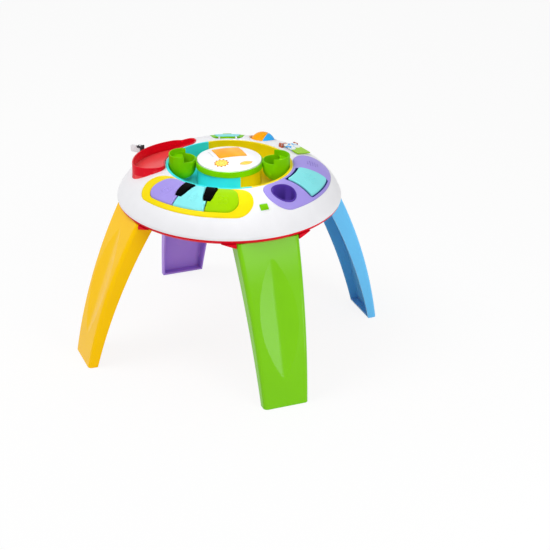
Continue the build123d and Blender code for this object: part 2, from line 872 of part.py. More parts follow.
with BuildPart() as paddle:
    blade_low_z = paddle_low_z + arm_height + arm_gap
    blade_height = paddle_height - 2 * (arm_height + arm_gap)
    with Locations(turned(180)):
        with Locations((paddle_r, 0, paddle_low_z - 0.5)):
            Cylinder(paddle_pin, paddle_height + 1.0, align=UP)
        with Locations((paddle_r, 0, blade_low_z)):
            Cylinder(paddle_hub, blade_height, align=UP)
            Box(paddle_reach, paddle_thick, blade_height, align=inward)
        with Locations((paddle_r + paddle_tall_from, 0, blade_low_z)):
            Box(
                paddle_reach - paddle_tall_from,
                paddle_thick,
                paddle_top_z - blade_low_z,
                align=inward,
            )
    tip = paddle.edges().filter_by(Axis.Y).sort_by(Axis.X)[:2]
    fillet(tip, 5.0)

# White back panel with a green lift flap, a ball well and a page on its spine
flap_angle = 116.0
flap_half = 12.5
flap_in = panel_in + 4.3
flap_out = panel_out - 6.5
flap_length = flap_out - flap_in
flap_corner = 0.245 * flap_length
flap_gap = 0.6
flap_proud = 0.9
tab_proud = 3.6
flap_under = 1.8
flap_lug = 3.0
insert_half = 9.2
insert_proud = 0.8
insert_in = flap_in + 0.163 * flap_length
insert_out = flap_out - 0.214 * flap_length
flap_pivot_r = flap_in + 3.0
flap_pivot_z = dome_z(flap_pivot_r, 0.2)
flap_barrel = 2.6
flap_pin_half = 17.0
ball_at = polar(panel_mid - 4.6, 88.9)
ball_z = dome_z(panel_mid) - 0.477 * ball_radius
ball_well_radius = ball_radius + ball_clear
ball_well_wall = 1.5
page_angle = 62.0
page_lift = 5.8

with BuildPart() as back_panel:
    add(panel_blank(back_angle, panel_half, panel_depth))
    flap_pocket = bean(flap_angle, flap_half, flap_in, flap_out, flap_corner)
    add(slab(flap_pocket, -panel_depth + 2.0, over), mode=Mode.SUBTRACT)
    with Locations((*ball_at, column_low_z)):
        Cylinder(ball_well_radius, 4 * leg_height, mode=Mode.SUBTRACT)
    with Locations(turned(flap_angle)):
        for side in (-1, 1):
            with Locations((flap_pivot_r, side * (flap_pin_half - flap_lug / 2), flap_pivot_z + 2.4)):
                Box(5.0, flap_lug, 13.0, align=(Align.CENTER, Align.CENTER, Align.MAX))
        with Locations((flap_pivot_r, 0, flap_pivot_z)):
            Cylinder(
                pivot_radius + running_gap,
                2 * flap_pin_half + 2.0,
                rotation=(90, 0, 0),
                mode=Mode.SUBTRACT,
            )

with BuildPart() as lift_flap:
    flap_face = bean(
        flap_angle,
        flap_half - degrees(flap_gap / panel_mid),
        flap_in + flap_gap,
        flap_out - flap_gap,
        flap_corner - flap_gap,
    )
    add(slab(flap_face, -flap_under, flap_proud))
    barrel_half = flap_pin_half - flap_lug - 0.6
    with Locations(turned(flap_angle)):
        with Locations((flap_pivot_r, 0, flap_pivot_z)):
            Box(60, 80, 40, align=(Align.MAX, Align.CENTER, Align.CENTER), mode=Mode.SUBTRACT)
        for side in (-1, 1):
            with Locations((flap_pivot_r, side * barrel_half, flap_pivot_z)):
                edge_align = Align.MIN if side > 0 else Align.MAX
                Box(8.0, 40, 40, align=(Align.CENTER, edge_align, Align.CENTER), mode=Mode.SUBTRACT)
        with Locations((flap_pivot_r, 0, flap_pivot_z)):
            Cylinder(flap_barrel, 2 * barrel_half, rotation=(90, 0, 0))
            Cylinder(pivot_radius, 2 * flap_pin_half, rotation=(90, 0, 0))
    add(slab(block(flap_out - 5.0, flap_angle, 7.0, 17.0), 0.0, tab_proud))

with BuildPart() as flap_insert:
    insert_corner = 0.23 * (insert_out - insert_in)
    insert_face = bean(flap_angle, insert_half, insert_in, insert_out, insert_corner)
    add(slab(insert_face, flap_proud, flap_proud + insert_proud))

with BuildPart() as ball_well:
    with Locations((*ball_at, ball_z - ball_radius - 2.8)):
        Cylinder(ball_well_radius, 2 * deep, align=UP)
    add(dome_band(-deep, panel_proud + 0.8), mode=Mode.INTERSECT)
    with Locations((*ball_at, ball_z - ball_radius - 0.4)):
        Cylinder(ball_well_radius - ball_well_wall, 2 * deep, align=UP, mode=Mode.SUBTRACT)

seam = Plane(origin=(*ball_at, ball_z), x_dir=(0, 1, 0), z_dir=(0.927, 0.047, -0.372))
ball_room = 3 * ball_radius
with BuildPart(mode=Mode.PRIVATE) as ball_form:
    with Locations((*ball_at, ball_z)):
        Sphere(ball_radius)
        Sphere(ball_radius - ball_wall, mode=Mode.SUBTRACT)
with BuildPart() as ball_half_orange:
    add(ball_form.part)
    with BuildPart(mode=Mode.INTERSECT):
        with Locations(Location(seam)):
            Box(ball_room, ball_room, ball_room, align=(Align.CENTER, Align.CENTER, Align.MAX))
with BuildPart() as ball_half_blue:
    add(ball_form.part)
    with BuildPart(mode=Mode.INTERSECT):
        with Locations(Location(seam)):
            Box(ball_room, ball_room, ball_room, align=UP)

page_start_r = panel_in + 0.0836 * panel_width
page_end_r = panel_out - 0.36 * panel_width
page_start = Vector(*polar(page_start_r, page_angle), dome_z(page_start_r, page_lift))
page_end = Vector(*polar(page_end_r, page_angle), dome_z(page_end_r, page_lift))
page_length = (page_end - page_start).length
page_along = (page_end - page_start).normalized()
page_side = Vector(-sin(radians(page_angle)), cos(radians(page_angle)), 0)
page_frame = Plane(origin=page_start, x_dir=page_along, z_dir=page_along.cross(page_side))
page_width = 42.0
page_tilt = 4.0
page_barrel = 2.2
page_lug = 3.0
page_pin = 1.2
page_thick = 1.8
page_clear = 0.5
page_block = 17.0
block_inset = 0.5
block_proud = 5.1
strip_width = 6.0
strip_proud = 2.4
page_leaf_length = page_length - 2 * (page_lug + page_clear)

with BuildPart() as page_spine:
    page_mid_r = (page_start_r + page_end_r) / 2
    strip_shift = page_barrel + 0.6 + strip_width / 2
    strip = block(page_mid_r, page_angle, page_end_r - page_start_r, strip_width, strip_shift)
    add(slab(strip, panel_proud, strip_proud))
    raised_r = page_start_r + page_block / 2
    raised_width = strip_width - 2 * block_inset
    raised = block(raised_r, page_angle, page_block - 2 * block_inset, raised_width, strip_shift)
    add(slab(raised, panel_proud + block_inset, block_proud))
    with Locations(Location(page_frame)):
        for start in (0.0, page_length - page_lug):
            with Locations((start, 3.0, -0.2)):
                Box(page_lug, 10.0, 12.0, align=(Align.MIN, Align.CENTER, Align.CENTER))
            with Locations((start, 0.0, 2.0)):
                Box(
                    page_lug,
                    30.0,
                    20.0,
                    align=(Align.MIN, Align.CENTER, Align.MIN),
                    mode=Mode.SUBTRACT,
                )
    add(dome_band(-deep, panel_proud), mode=Mode.SUBTRACT)
    with Locations(Location(page_frame)):
        Cylinder(page_pin + running_gap, 4 * page_length, rotation=(0, 90, 0), mode=Mode.SUBTRACT)

with BuildPart() as page:
    with Locations(Location(page_frame)):
        with Locations((0.3, 0, 0)):
            Cylinder(page_pin, page_length - 0.6, rotation=(0, 90, 0), align=UP)
        with Locations((page_lug + page_clear, 0, 0)):
            Cylinder(page_barrel, page_leaf_length, rotation=(0, 90, 0), align=UP)
        with Locations(Location((page_lug + page_clear, 0, 0), (page_tilt, 0, 0))):
            Box(
                page_leaf_length,
                page_width,
                page_thick,
                align=(Align.MIN, Align.MAX, Align.CENTER),
            )

# Power switch under the shell, with its sliding knob
with BuildPart() as switch_body:
    add(slab(block(switch_r, switch_angle, 12.0, 18.0), -12.0, -shell_wall))
    switch_slot = block(switch_r, switch_angle, slot_width + 2 * slot_clear, slot_length + 2 * slot_clear)
    add(slab(switch_slot, -8.4, 0.0), mode=Mode.SUBTRACT)

with BuildPart() as switch_knob:
    add(slab(block(switch_r, switch_angle, 8.0, 14.0), 0.4, 3.4))
    add(slab(block(switch_r, switch_angle, slot_width - 2 * slot_clear, knob_stem), -7.6, 1.0))

# Speaker, main board and battery bay inside the housing
with BuildPart() as speaker:
    with Locations((*polar(speaker_r, speaker_angle), post_top_z)):
        Cylinder(speaker_magnet_radius, speaker_magnet_height, align=UP)
    with Locations((*polar(speaker_r, speaker_angle), post_top_z + speaker_magnet_height)):
        Cone(speaker_magnet_radius, speaker_radius, 7.0, align=UP)

with BuildPart() as main_board:
    with Locations((0, board_y, post_top_z)):
        Box(*board_size, align=UP)
    with Locations((0, board_y, post_top_z + board_size[2])):
        Box(14.0, 14.0, 2.0, align=UP)

box_top_z = floor_top_z + 19.0
box_wall = 3.0
box_roof = 2.5
cell_radius = 7.2
cell_length = 50.5
cell_pitch = 17.0
cell_z = box_top_z - box_roof - cell_radius
cell_start_x = box_wall + 1.0 - bay_length / 2
door_screw_x = 28.0
door_screw_radius = 1.5
door_head_radius = 3.4
door_head_height = 1.8
with BuildPart() as battery_box:
    with Locations((0, 0, floor_top_z)):
        Box(
            bay_length + 2 * box_wall,
            bay_width + 2 * box_wall,
            box_top_z - floor_top_z,
            align=UP,
        )
        Box(
            bay_length,
            bay_width,
            box_top_z - floor_top_z - box_roof,
            align=UP,
            mode=Mode.SUBTRACT,
        )
    with Locations((door_screw_x, 0, floor_top_z)):
        Cylinder(4.0, box_top_z - floor_top_z - 1.0, align=UP)
        Cylinder(door_screw_radius, 20.0, mode=Mode.SUBTRACT)

with BuildPart(mode=Mode.PRIVATE) as cell_form:
    with Locations((cell_start_x, 0, cell_z)):
        Cylinder(cell_radius, cell_length - 1.2, rotation=(0, 90, 0), align=UP)
        Cylinder(2.7, cell_length, rotation=(0, 90, 0), align=UP)
with BuildPart() as cell_one:
    with Locations((0, -cell_pitch, 0)):
        add(cell_form.part)
with BuildPart() as cell_two:
    add(cell_form.part)
with BuildPart() as cell_three:
    with Locations((0, cell_pitch, 0)):
        add(cell_form.part)

with BuildPart() as battery_door:
    with Locations((0, 0, leg_height)):
        Box(bay_length, bay_width, floor_top_z - leg_height, align=UP)
    with Locations((door_screw_x, 0, leg_height)):
        Cylinder(door_screw_radius + 0.2, 20.0, mode=Mode.SUBTRACT)
        Cylinder(door_head_radius + 0.2, door_head_height, align=UP, mode=Mode.SUBTRACT)

with BuildPart() as door_screw:
    with Locations((door_screw_x, 0, leg_height)):
        Cylinder(door_head_radius, door_head_height, align=UP)
        Cylinder(door_screw_radius, 12.0, align=UP)
        Box(4.4, 0.9, door_head_height, mode=Mode.SUBTRACT)
        Box(0.9, 4.4, door_head_height, mode=Mode.SUBTRACT)

pieces = {
    "top_shell": top_shell,
    "base_shell": base_shell,
    "leg_front_right": leg_front_right,
    "leg_front_left": leg_front_left,
    "leg_back_left": leg_back_left,
    "leg_back_right": leg_back_right,
    "screw_front_right": screw_front_right,
    "screw_front_left": screw_front_left,
    "screw_back_left": screw_back_left,
    "screw_back_right": screw_back_right,
    "bowl_turquoise": bowl_turquoise,
    "bowl_yellow": bowl_yellow,
    "spindle": spindle,
    "thrust_washer": thrust_washer,
    "light_board": light_board,
    "centre_cap": centre_cap,
    "light_window": light_window,
    "carousel_hub": carousel_hub,
    "cup_right": cup_right,
    "cup_left": cup_left,
    "piano_bezel": piano_bezel,
    "key_purple": key_purple,
    "key_turquoise": key_turquoise,
    "key_green": key_green,
    "black_key_left": black_key_left,
    "black_key_right": black_key_right,
    "side_panel": side_panel,
    "peg_socket": peg_socket,
    "plate_liner": plate_liner,
    "press_plate": press_plate,
    "ramp_tray": ramp_tray,
    "paddle_bracket": paddle_bracket,
    "paddle": paddle,
    "back_panel": back_panel,
    "lift_flap": lift_flap,
    "flap_insert": flap_insert,
    "ball_well": ball_well,
    "ball_half_orange": ball_half_orange,
    "ball_half_blue": ball_half_blue,
    "page_spine": page_spine,
    "page": page,
    "switch_body": switch_body,
    "switch_knob": switch_knob,
    "speaker": speaker,
    "main_board": main_board,
    "battery_box": battery_box,
    "cell_one": cell_one,
    "cell_two": cell_two,
    "cell_three": cell_three,
    "battery_door": battery_door,
    "door_screw": door_screw,
}
for name, piece in pieces.items():
    piece.part.label = name
    export_step(piece.part, f"parts/{name}.step")
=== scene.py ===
import json
import math

import bmesh
import bpy
import numpy as np
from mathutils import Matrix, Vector
from mathutils.geometry import delaunay_2d_cdt

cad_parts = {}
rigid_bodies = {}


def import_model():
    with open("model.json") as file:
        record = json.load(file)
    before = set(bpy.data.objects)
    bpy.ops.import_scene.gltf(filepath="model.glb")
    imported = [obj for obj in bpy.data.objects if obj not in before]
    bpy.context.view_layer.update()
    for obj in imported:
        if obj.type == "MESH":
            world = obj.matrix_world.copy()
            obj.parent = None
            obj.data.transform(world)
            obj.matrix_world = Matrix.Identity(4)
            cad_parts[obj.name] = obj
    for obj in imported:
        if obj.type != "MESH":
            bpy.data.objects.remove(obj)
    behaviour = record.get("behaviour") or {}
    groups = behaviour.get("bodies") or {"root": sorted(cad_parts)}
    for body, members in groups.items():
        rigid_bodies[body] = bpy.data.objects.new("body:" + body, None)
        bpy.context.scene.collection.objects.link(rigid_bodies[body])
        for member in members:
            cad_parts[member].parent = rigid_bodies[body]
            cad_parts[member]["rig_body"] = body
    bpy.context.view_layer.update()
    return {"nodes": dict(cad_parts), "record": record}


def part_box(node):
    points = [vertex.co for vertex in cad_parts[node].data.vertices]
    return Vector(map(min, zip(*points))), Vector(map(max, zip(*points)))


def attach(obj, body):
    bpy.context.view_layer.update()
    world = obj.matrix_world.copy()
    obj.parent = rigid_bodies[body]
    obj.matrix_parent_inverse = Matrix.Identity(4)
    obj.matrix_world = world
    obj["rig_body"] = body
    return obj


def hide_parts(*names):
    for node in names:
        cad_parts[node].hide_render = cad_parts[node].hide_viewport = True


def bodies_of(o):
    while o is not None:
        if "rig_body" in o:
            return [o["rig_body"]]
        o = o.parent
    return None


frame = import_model()

bl_info = {
    "name": "Activity table finish",
    "version": (1, 0, 0),
    "blender": (4, 5, 0),
    "location": "View3D > Sidebar > Table",
    "description": "Moulded edges, finishes and small details of a toddler activity table",
    "category": "Object",
}

MM = 0.001
IMAGE_SIDE = 550.0
SENSOR = 36.0


def linear(code):
    """Scene-linear value of a written #RRGGBB colour."""
    parts = [int(code[i : i + 2], 16) / 255 for i in (1, 3, 5)]
    return tuple(p / 12.92 if p <= 0.04045 else ((p + 0.055) / 1.055) ** 2.4 for p in parts)


def tint(label, use, code):
    return bpy.props.FloatVectorProperty(
        name=label, description=use, default=linear(code), subtype="COLOR", size=3, min=0, max=1
    )


def number(label, use, value, **kind):
    return bpy.props.FloatProperty(name=label, description=use, default=value, **kind)


def span(label, use, millimetres):
    return number(label, use, millimetres * MM, subtype="DISTANCE", unit="LENGTH", min=0)


def turn(label, use, degrees):
    return number(label, use, math.radians(degrees), subtype="ANGLE", unit="ROTATION")


def share(label, use, value, top=1.0):
    return number(label, use, value, subtype="FACTOR", min=0, max=top)


def lamp_power(label, use, watts):
    return number(label, use, watts, unit="POWER", min=0)


def pixels(label, use, count):
    return number(label, use, count, subtype="PIXEL")


class TableColours(bpy.types.PropertyGroup):
    """Colours of the moulded plastics and the print."""

    white: tint("White", "Domed top, crowned disc and back panel", "#EAEAED")
    red: tint("Red", "Lower housing and ramp tray", "#E00B25")
    # Painted reflection: a lighter red that stands for the top light mirrored in the tray floor.
    red_sheen: tint("Red sheen", "Floor of the ramp tray", "#EE4A4C")
    orange_yellow: tint("Orange yellow", "Front left leg", "#FFC800")
    green: tint("Green", "Front right leg, carousel, flap and switch knob", "#7AC800")
    blue: tint("Blue", "Back right leg", "#6EC8FF")
    purple: tint("Purple", "Back left leg", "#AE8CEA")
    turquoise: tint("Turquoise", "One half of the bowl", "#3CE0E6")
    yellow: tint("Yellow", "Piano bezel and the other half of the bowl", "#F2D90E")
    lilac: tint("Lilac", "Side panel and one key", "#A394E2")
    aqua: tint("Aqua", "Press plate, flap insert and one key", "#84E0E4")
    lime: tint("Lime", "One key and the meadow on the page", "#98CC00")
    black: tint("Black", "Raised black keys", "#060608")
    dark_purple: tint("Dark purple", "Peg socket", "#573CA4")
    navy: tint("Navy", "Liner round the press plate", "#1E2F7C")
    amber: tint("Amber", "Light window and one half of the ball", "#F4A00A")
    sky: tint("Sky", "Other half of the ball and drops on the page", "#34ACF2")
    charcoal: tint("Charcoal", "Paddle bracket and switch body", "#3A3A3E")
    brick: tint("Brick", "Page spine", "#C0654F")
    paper: tint("Paper", "Turning page", "#EDF0E8")
    natural: tint("Natural", "Hidden spindle, washer and battery box", "#DDDAD0")
    board: tint("Board", "Circuit boards", "#1C7A45")
    cell: tint("Cell", "Battery cells", "#55565C")
    steel: tint("Steel", "Screws", "#B9BBC0")
    speaker: tint("Speaker", "Speaker cone", "#26262A")
    print_warm: tint("Warm print", "Petals of the flower and rim of the leaf", "#F0A018")
    print_dark: tint("Dark print", "Dots and seeds of the flower", "#8C3A20")
    print_pale: tint("Pale print", "Heart of the flower and blade of the leaf", "#F6D860")
    print_grey: tint("Grey print", "Dashes beside the window", "#7D7F88")
    window_light: tint("Window light", "Lighter swirls in the light window", "#F6B02C")


class TableSizes(bpy.types.PropertyGroup):
    """Sizes of the moulded edges and small details."""

    panel_edge: span("Panel edge", "Rounding of the panels' edges", 1.0)
    key_edge: span("Key edge", "Rounding of the keys' edges", 1.5)
    rim_edge: span("Rim edge", "Rounding of thin moulded rims", 0.95)
    cap_edge: span("Disc edge", "Rounding of the crowned disc", 1.6)
    shell_edge: span("Shell edge", "Rounding of the domed top's openings", 0.7)
    window_edge: span("Window edge", "Rounding of the light window", 0.25)
    socket_edge: span("Socket edge", "Rounding of the peg socket", 0.9)
    tray_edge: span("Tray edge", "Rounding of the ramp tray's rim", 1.1)
    insert_edge: span("Insert edge", "Rounding of the flap's insert", 0.6)
    well_edge: span("Well edge", "Rounding of the ball well's rim", 0.7)
    knob_edge: span("Knob edge", "Rounding of the switch knob", 1.3)
    small_edge: span("Small edge", "Rounding of the paddle and its bracket", 0.5)
    relief: span("Relief", "Height of the raised motifs", 0.9)
    print_lift: span("Print thickness", "Thickness of the print on the disc", 0.12)
    hole_radius: span("Grille hole", "Radius of one speaker perforation", 1.2)
    hole_pitch: span("Grille pitch", "Distance between perforations", 4.4)
    grille_radius: span("Grille radius", "Radius of the perforated patch", 12.0)
    hole_depth: span("Grille depth", "Depth of one perforation", 3.0)
    grain: span("Grain", "Size of the moulded surface texture", 0.5)
    wear: share("Wear", "Strength of the tone and gloss variation", 0.35)


class StageSettings(bpy.types.PropertyGroup):
    """Camera, floor and lamps."""

    azimuth: turn("Camera azimuth", "Angle round the table, from the piano side", 24.58)
    elevation: turn("Camera elevation", "Angle above the floor", 26.68)
    distance: span("Camera distance", "From the aim point", 2938.0)
    aim_height: span("Aim height", "Height of the aim point", 119.26)
    focal_pixels: pixels("Focal length", "In pixels of a 550 pixel wide frame", 1598.98)
    centre_pixels: pixels("Centre", "Pixel column of the optical axis", 229.29)
    floor_colour: tint("Floor", "Pale studio floor", "#F7F7F7")
    key_power: lamp_power("Key lamp", "Wide soft lamp from the upper left", 25.0)
    fill_power: lamp_power("Fill lamp", "Soft lamp to the right of the camera", 14.5)
    leg_power: lamp_power("Leg lamp", "Low lamp beside the legs, mirrored in their flutes", 2.0)
    bowl_power: lamp_power("Bowl lamp", "Narrow lamp into the bowl", 0.035)
    sky_level: share("Sky level", "Light of the pale surroundings", 0.56, 2.0)
    floor_glow: share("Floor glow", "Share of plain white in the floor as it is seen or mirrored", 0.88)


def colours():
    return bpy.context.scene.table_colours


def sizes():
    return bpy.context.scene.table_sizes


def stage_settings():
    return bpy.context.scene.table_stage


# Finishes


class Value:
    """A socket that takes part in sums; each operator adds a Math node."""

    def __init__(self, net, socket):
        self.net = net
        self.socket = socket

    def _sum(self, operation, first, second):
        return self.net.node("ShaderNodeMath", {"operation": operation}, {0: first, 1: second})

    def __add__(self, other):
        return self._sum("ADD", self, other)

    __radd__ = __add__

    def __sub__(self, other):
        return self._sum("SUBTRACT", self, other)

    def __rsub__(self, other):
        return self._sum("SUBTRACT", other, self)

    def __mul__(self, other):
        return self._sum("MULTIPLY", self, other)

    __rmul__ = __mul__

    def __pow__(self, other):
        return self._sum("POWER", self, other)

    def __gt__(self, other):
        return self._sum("GREATER_THAN", self, other)

    def __lt__(self, other):
        return self._sum("LESS_THAN", self, other)


class Net:
    """A node tree and the nodes put into it."""

    def __init__(self, tree):
        self.tree = tree
        tree.nodes.clear()

    def node(self, kind, settings=None, inputs=None, output=0):
        made = self.tree.nodes.new(kind)
        for key, value in (settings or {}).items():
            setattr(made, key, value)
        for key, value in (inputs or {}).items():
            socket = made.inputs[key]
            if isinstance(value, Value):
                self.tree.links.new(value.socket, socket)
            elif socket.type == "RGBA":
                socket.default_value = (*value, 1.0)
            else:
                socket.default_value = value
        return Value(self, made.outputs[output])

    def vector(self, operation, first, second=(0.0, 0.0, 0.0), output="Value"):
        return self.node("ShaderNodeVectorMath", {"operation": operation}, {0: first, 1: second}, output)

    def flattened(self, place):
        return self.vector("MULTIPLY", place, (1.0, 1.0, 0.0), "Vector")

    def ray(self, kind):
        return self.node("ShaderNodeLightPath", output=f"Is {kind} Ray")

    def close(self, kind, result, socket="Surface"):
        self.tree.links.new(result.socket, self.tree.nodes.new(kind).inputs[socket])


class Finish(Net):
    """A material and the nodes that make it."""

    def __init__(self, name):
        self.material = bpy.data.materials.new(name)
        self.material.use_nodes = True
        super().__init__(self.material.node_tree)

    def blend(self, factor, first, second):
        return self.node("ShaderNodeMix", {"data_type": "RGBA"}, {0: factor, 6: first, 7: second}, output=2)

    def place(self):
        return self.node("ShaderNodeTexCoord", output="Object")

    def noise(self, vector, scale, detail=2.0, rough=0.5):
        inputs = {"Vector": vector, "Scale": scale, "Detail": detail, "Roughness": rough}
        return self.node("ShaderNodeTexNoise", {}, inputs)

    def skin(self, place):
        """Fine unevenness of a moulded surface."""
        return self.noise(place, 1.0 / sizes().grain)

    def bump(self, height, strength, depth=0.1 * MM, **normal):
        return self.node(
            "ShaderNodeBump", {}, {"Strength": strength, "Distance": depth, "Height": height, **normal}
        )

    def surface(self, base, roughness, normal, **constants):
        inputs = {"Base Color": base, "Roughness": roughness, "Normal": normal}
        inputs.update({key.replace("_", " "): value for key, value in constants.items()})
        shader = self.node("ShaderNodeBsdfPrincipled", {}, inputs)
        self.close("ShaderNodeOutputMaterial", shader)
        return self.material


class Group(Net):
    """A geometry tree with named inputs; its first input is the mesh that it works on."""

    def __init__(self, name):
        super().__init__(bpy.data.node_groups.new(name, "GeometryNodeTree"))
        self.entry = self.tree.nodes.new("NodeGroupInput")
        self.inputs = {}
        self.mesh = self.setting("Mesh", "NodeSocketGeometry")
        self.tree.interface.new_socket("Mesh", in_out="OUTPUT", socket_type="NodeSocketGeometry")

    def setting(self, name, kind="NodeSocketFloat"):
        made = self.tree.interface.new_socket(name, in_out="INPUT", socket_type=kind)
        self.inputs[name] = made.identifier
        return Value(self, self.entry.outputs[name])

    def copies(self, points, piece):
        placed = self.node("GeometryNodeInstanceOnPoints", {}, {"Points": points, "Instance": piece})
        return self.node("GeometryNodeRealizeInstances", {}, {0: placed})

    def raised(self, pieces, rise):
        offset = self.node("ShaderNodeCombineXYZ", {}, {"Z": rise})
        return self.node("GeometryNodeSetPosition", {}, {"Geometry": pieces, "Offset": offset})

    def finish(self, pieces, material):
        real = self.node("GeometryNodeRealizeInstances", {}, {0: pieces})
        painted = self.node("GeometryNodeSetMaterial", {}, {0: real, 2: material})
        self.close("NodeGroupOutput", painted, "Mesh")

    def run(self, mesh, values):
        """The mesh that the tree makes of another one."""
        carrier = bpy.data.objects.new(self.tree.name + "_carrier", mesh)
        bpy.context.scene.collection.objects.link(carrier)
        modifier = carrier.modifiers.new(self.tree.name, "NODES")
        modifier.node_group = self.tree
        for name, value in values.items():
            modifier[self.inputs[name]] = value
        context = bpy.context.evaluated_depsgraph_get()
        made = bpy.data.meshes.new_from_object(carrier.evaluated_get(context), depsgraph=context)
        carrier.modifiers.clear()
        bpy.data.objects.remove(carrier)
        return made


CLOUD_SCALE, CLOUD_DARK, CLOUD_LIGHT, CLOUD_ROUGH = 26.0, 0.16, 0.1, 0.14
SCUFF_SCALE, SCUFF_TONE, SCUFF_ROUGH = 210.0, 0.12, 0.12
SCUFF_START, SCUFF_FULL = 0.62, 0.8
SCUFF_COLOUR = (0.8, 0.8, 0.8)
WEAR_POLISH = 0.06
LEG_POLISH = {"rough": 0.2, "shine": 0.08}
FRONT_LEG_POLISH = {"rough": 0.2, "shine": 0.2}


def toned(colour, factor):
    return tuple(min(1.0, channel * factor) for channel in colour)


def made_once(maker):
    """A finish that is there already is used again."""

    def ask(name, *values, **settings):
        return bpy.data.materials.get(name) or maker(name, *values, **settings)

    return ask


@made_once
def moulded(name, colour, rough=0.32, shine=0.05, edge=0.6 * MM, pale=None):
    """Moulded plastic: faint flow clouds, fine skin, small scuffs and rounded edges.
    pale gives a lighter colour, used as a painted reflection of light, and, for a position, how much of it
    there is."""
    wear = sizes().wear
    finish = Finish(name)
    place = finish.place()
    clouds = finish.noise(place, CLOUD_SCALE, 3.0)
    skin = finish.skin(place)
    scuffs = finish.noise(place, SCUFF_SCALE, 5.0, 0.7)
    worn = finish.node(
        "ShaderNodeMapRange",
        {"interpolation_type": "SMOOTHSTEP"},
        {"Value": scuffs, "From Min": SCUFF_START, "From Max": SCUFF_FULL, "To Min": 0.0, "To Max": wear},
    )
    base = finish.blend(clouds, toned(colour, 1 - CLOUD_DARK * wear), toned(colour, 1 + CLOUD_LIGHT * wear))
    base = finish.blend(worn * SCUFF_TONE, base, SCUFF_COLOUR)
    # Painted reflection: a lighter tone, where the given mask is one, stands for light mirrored on the
    # surface.
    if pale:
        lighter, amount = pale
        base = finish.blend(amount(finish, place), base, lighter)
    roughness = rough - WEAR_POLISH * wear + clouds * (CLOUD_ROUGH * wear) + worn * SCUFF_ROUGH
    rounded = finish.node("ShaderNodeBevel", {"samples": 4}, {"Radius": edge})
    normal = finish.bump(skin, 0.1, 0.12 * MM, Normal=rounded)
    return finish.surface(base, roughness, normal, Specular_IOR_Level=shine)


@made_once
def clear_plastic(name, colour, scale, lighter):
    """Glossy tinted plastic with lighter swirls in its depth."""
    finish = Finish(name)
    place = finish.place()
    swirl = finish.node(
        "ShaderNodeTexWave",
        {"wave_type": "BANDS", "bands_direction": "DIAGONAL"},
        {"Vector": place, "Scale": scale, "Distortion": 7.0, "Detail": 2.0, "Detail Scale": 1.2},
    )
    skin = finish.skin(place)
    base = finish.blend(swirl, colour, lighter)
    normal = finish.bump(skin, 0.03)
    return finish.surface(
        base, 0.12 + skin * 0.08, normal, Specular_IOR_Level=0.04, Coat_Weight=0.01, Coat_Roughness=0.05
    )


def printed_page():
    """Pale paper with blue drops and warm specks, and a green meadow beyond a waved edge."""
    finish = Finish("page_print")
    tones = colours()
    place = finish.place()
    along = polar(1.0, PAGE_ANGLE)

    def measured(direction):
        return finish.vector("DOT_PRODUCT", place, (*direction, 0.0))

    across = measured((along.y, -along.x))
    length = measured(along)
    waves = finish.noise(place, PAGE_WAVE_SCALE, 1.0)
    drops = finish.noise(place, PAGE_DROP_SCALE, 0.0)
    specks = finish.node("ShaderNodeTexVoronoi", {}, {"Vector": place, "Scale": PAGE_SPECK_SCALE}, "Distance")
    base = finish.blend(drops > DROP_LEVEL, tones.paper, tones.sky)
    base = finish.blend(specks < SPECK_RADIUS, base, tones.print_warm)
    slant = (length - PAGE_MIDDLE) * MEADOW_SLANT
    meadow = across + waves * MEADOW_WAVE + slant > MEADOW_EDGE
    base = finish.blend(meadow, base, tones.lime)
    normal = finish.bump(finish.skin(place), 0.05)
    return finish.surface(base, 0.38 + waves * 0.1, normal, Specular_IOR_Level=0.3)


@made_once
def bare_steel(name, colour):
    """Plain screw steel with a fine grain."""
    finish = Finish(name)
    place = finish.place()
    grain = finish.noise(place, 900.0, 4.0)
    base = finish.blend(grain, toned(colour, 0.85), toned(colour, 1.05))
    return finish.surface(base, 0.28 + grain * 0.15, finish.bump(grain, 0.08), Metallic=1.0)


def finish_of(slot):
    """The finish of one of the record's material slots."""
    tone = getattr(colours(), slot)
    if slot == "steel":
        return bare_steel("bare_steel", tone)
    if slot in ("amber", "sky"):
        return clear_plastic(slot + "_clear", tone, 5.0, toned(tone, 1.12))
    if slot == "black":
        return moulded("black_plastic", tone, rough=0.2, shine=0.01)
    if slot in ("charcoal", "speaker", "board", "natural", "navy"):
        return moulded(slot + "_matt", tone, rough=0.5)
    if slot in ("orange_yellow", "blue", "purple"):
        return moulded(slot + "_glossy", tone, **LEG_POLISH)
    return moulded(slot + "_plastic", tone)


def slot_of(node):
    for row in frame["record"]["subparts"]:
        if row["node"] == node:
            return row["material_slot"]
    raise ValueError(f"no material slot for {node}")


def body_of(node):
    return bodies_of(frame["nodes"][node])[0]


def dress(obj, material):
    obj.data.materials.clear()
    obj.data.materials.append(material)


def paint(*nodes):
    """CAD nodes whose shape is right get their finish."""
    for node in nodes:
        obj = frame["nodes"][node]
        dress(obj, finish_of(slot_of(node)))


def add_piece(name, mesh, body, slot, material=None):
    mesh.shade_smooth()
    mesh.set_sharp_from_angle(angle=math.radians(SMOOTH_ANGLE))
    obj = bpy.data.objects.new(name, mesh)
    bpy.context.scene.collection.objects.link(obj)
    dress(obj, material or finish_of(slot))
    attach(obj, body)
    return obj


# Sizes and places that the frame doesn't hold, in metres and degrees

RIM_RADIUS = 200.0 * MM
WELL_RADIUS = 110.3 * MM
SHELL_TOP = 287.3 * MM
DOME_RISE = 53.41 * MM
DOME_R0 = WELL_RADIUS + 10.8 * MM
DOME_REACH = RIM_RADIUS - DOME_R0
DOME_RADIUS = (DOME_REACH**2 + DOME_RISE**2) / (2 * DOME_RISE)
DOME_Z0 = SHELL_TOP + DOME_RISE - DOME_RADIUS
CROWN_RISE = 6.5 * MM
WINDOW_PROUD = 0.3 * MM

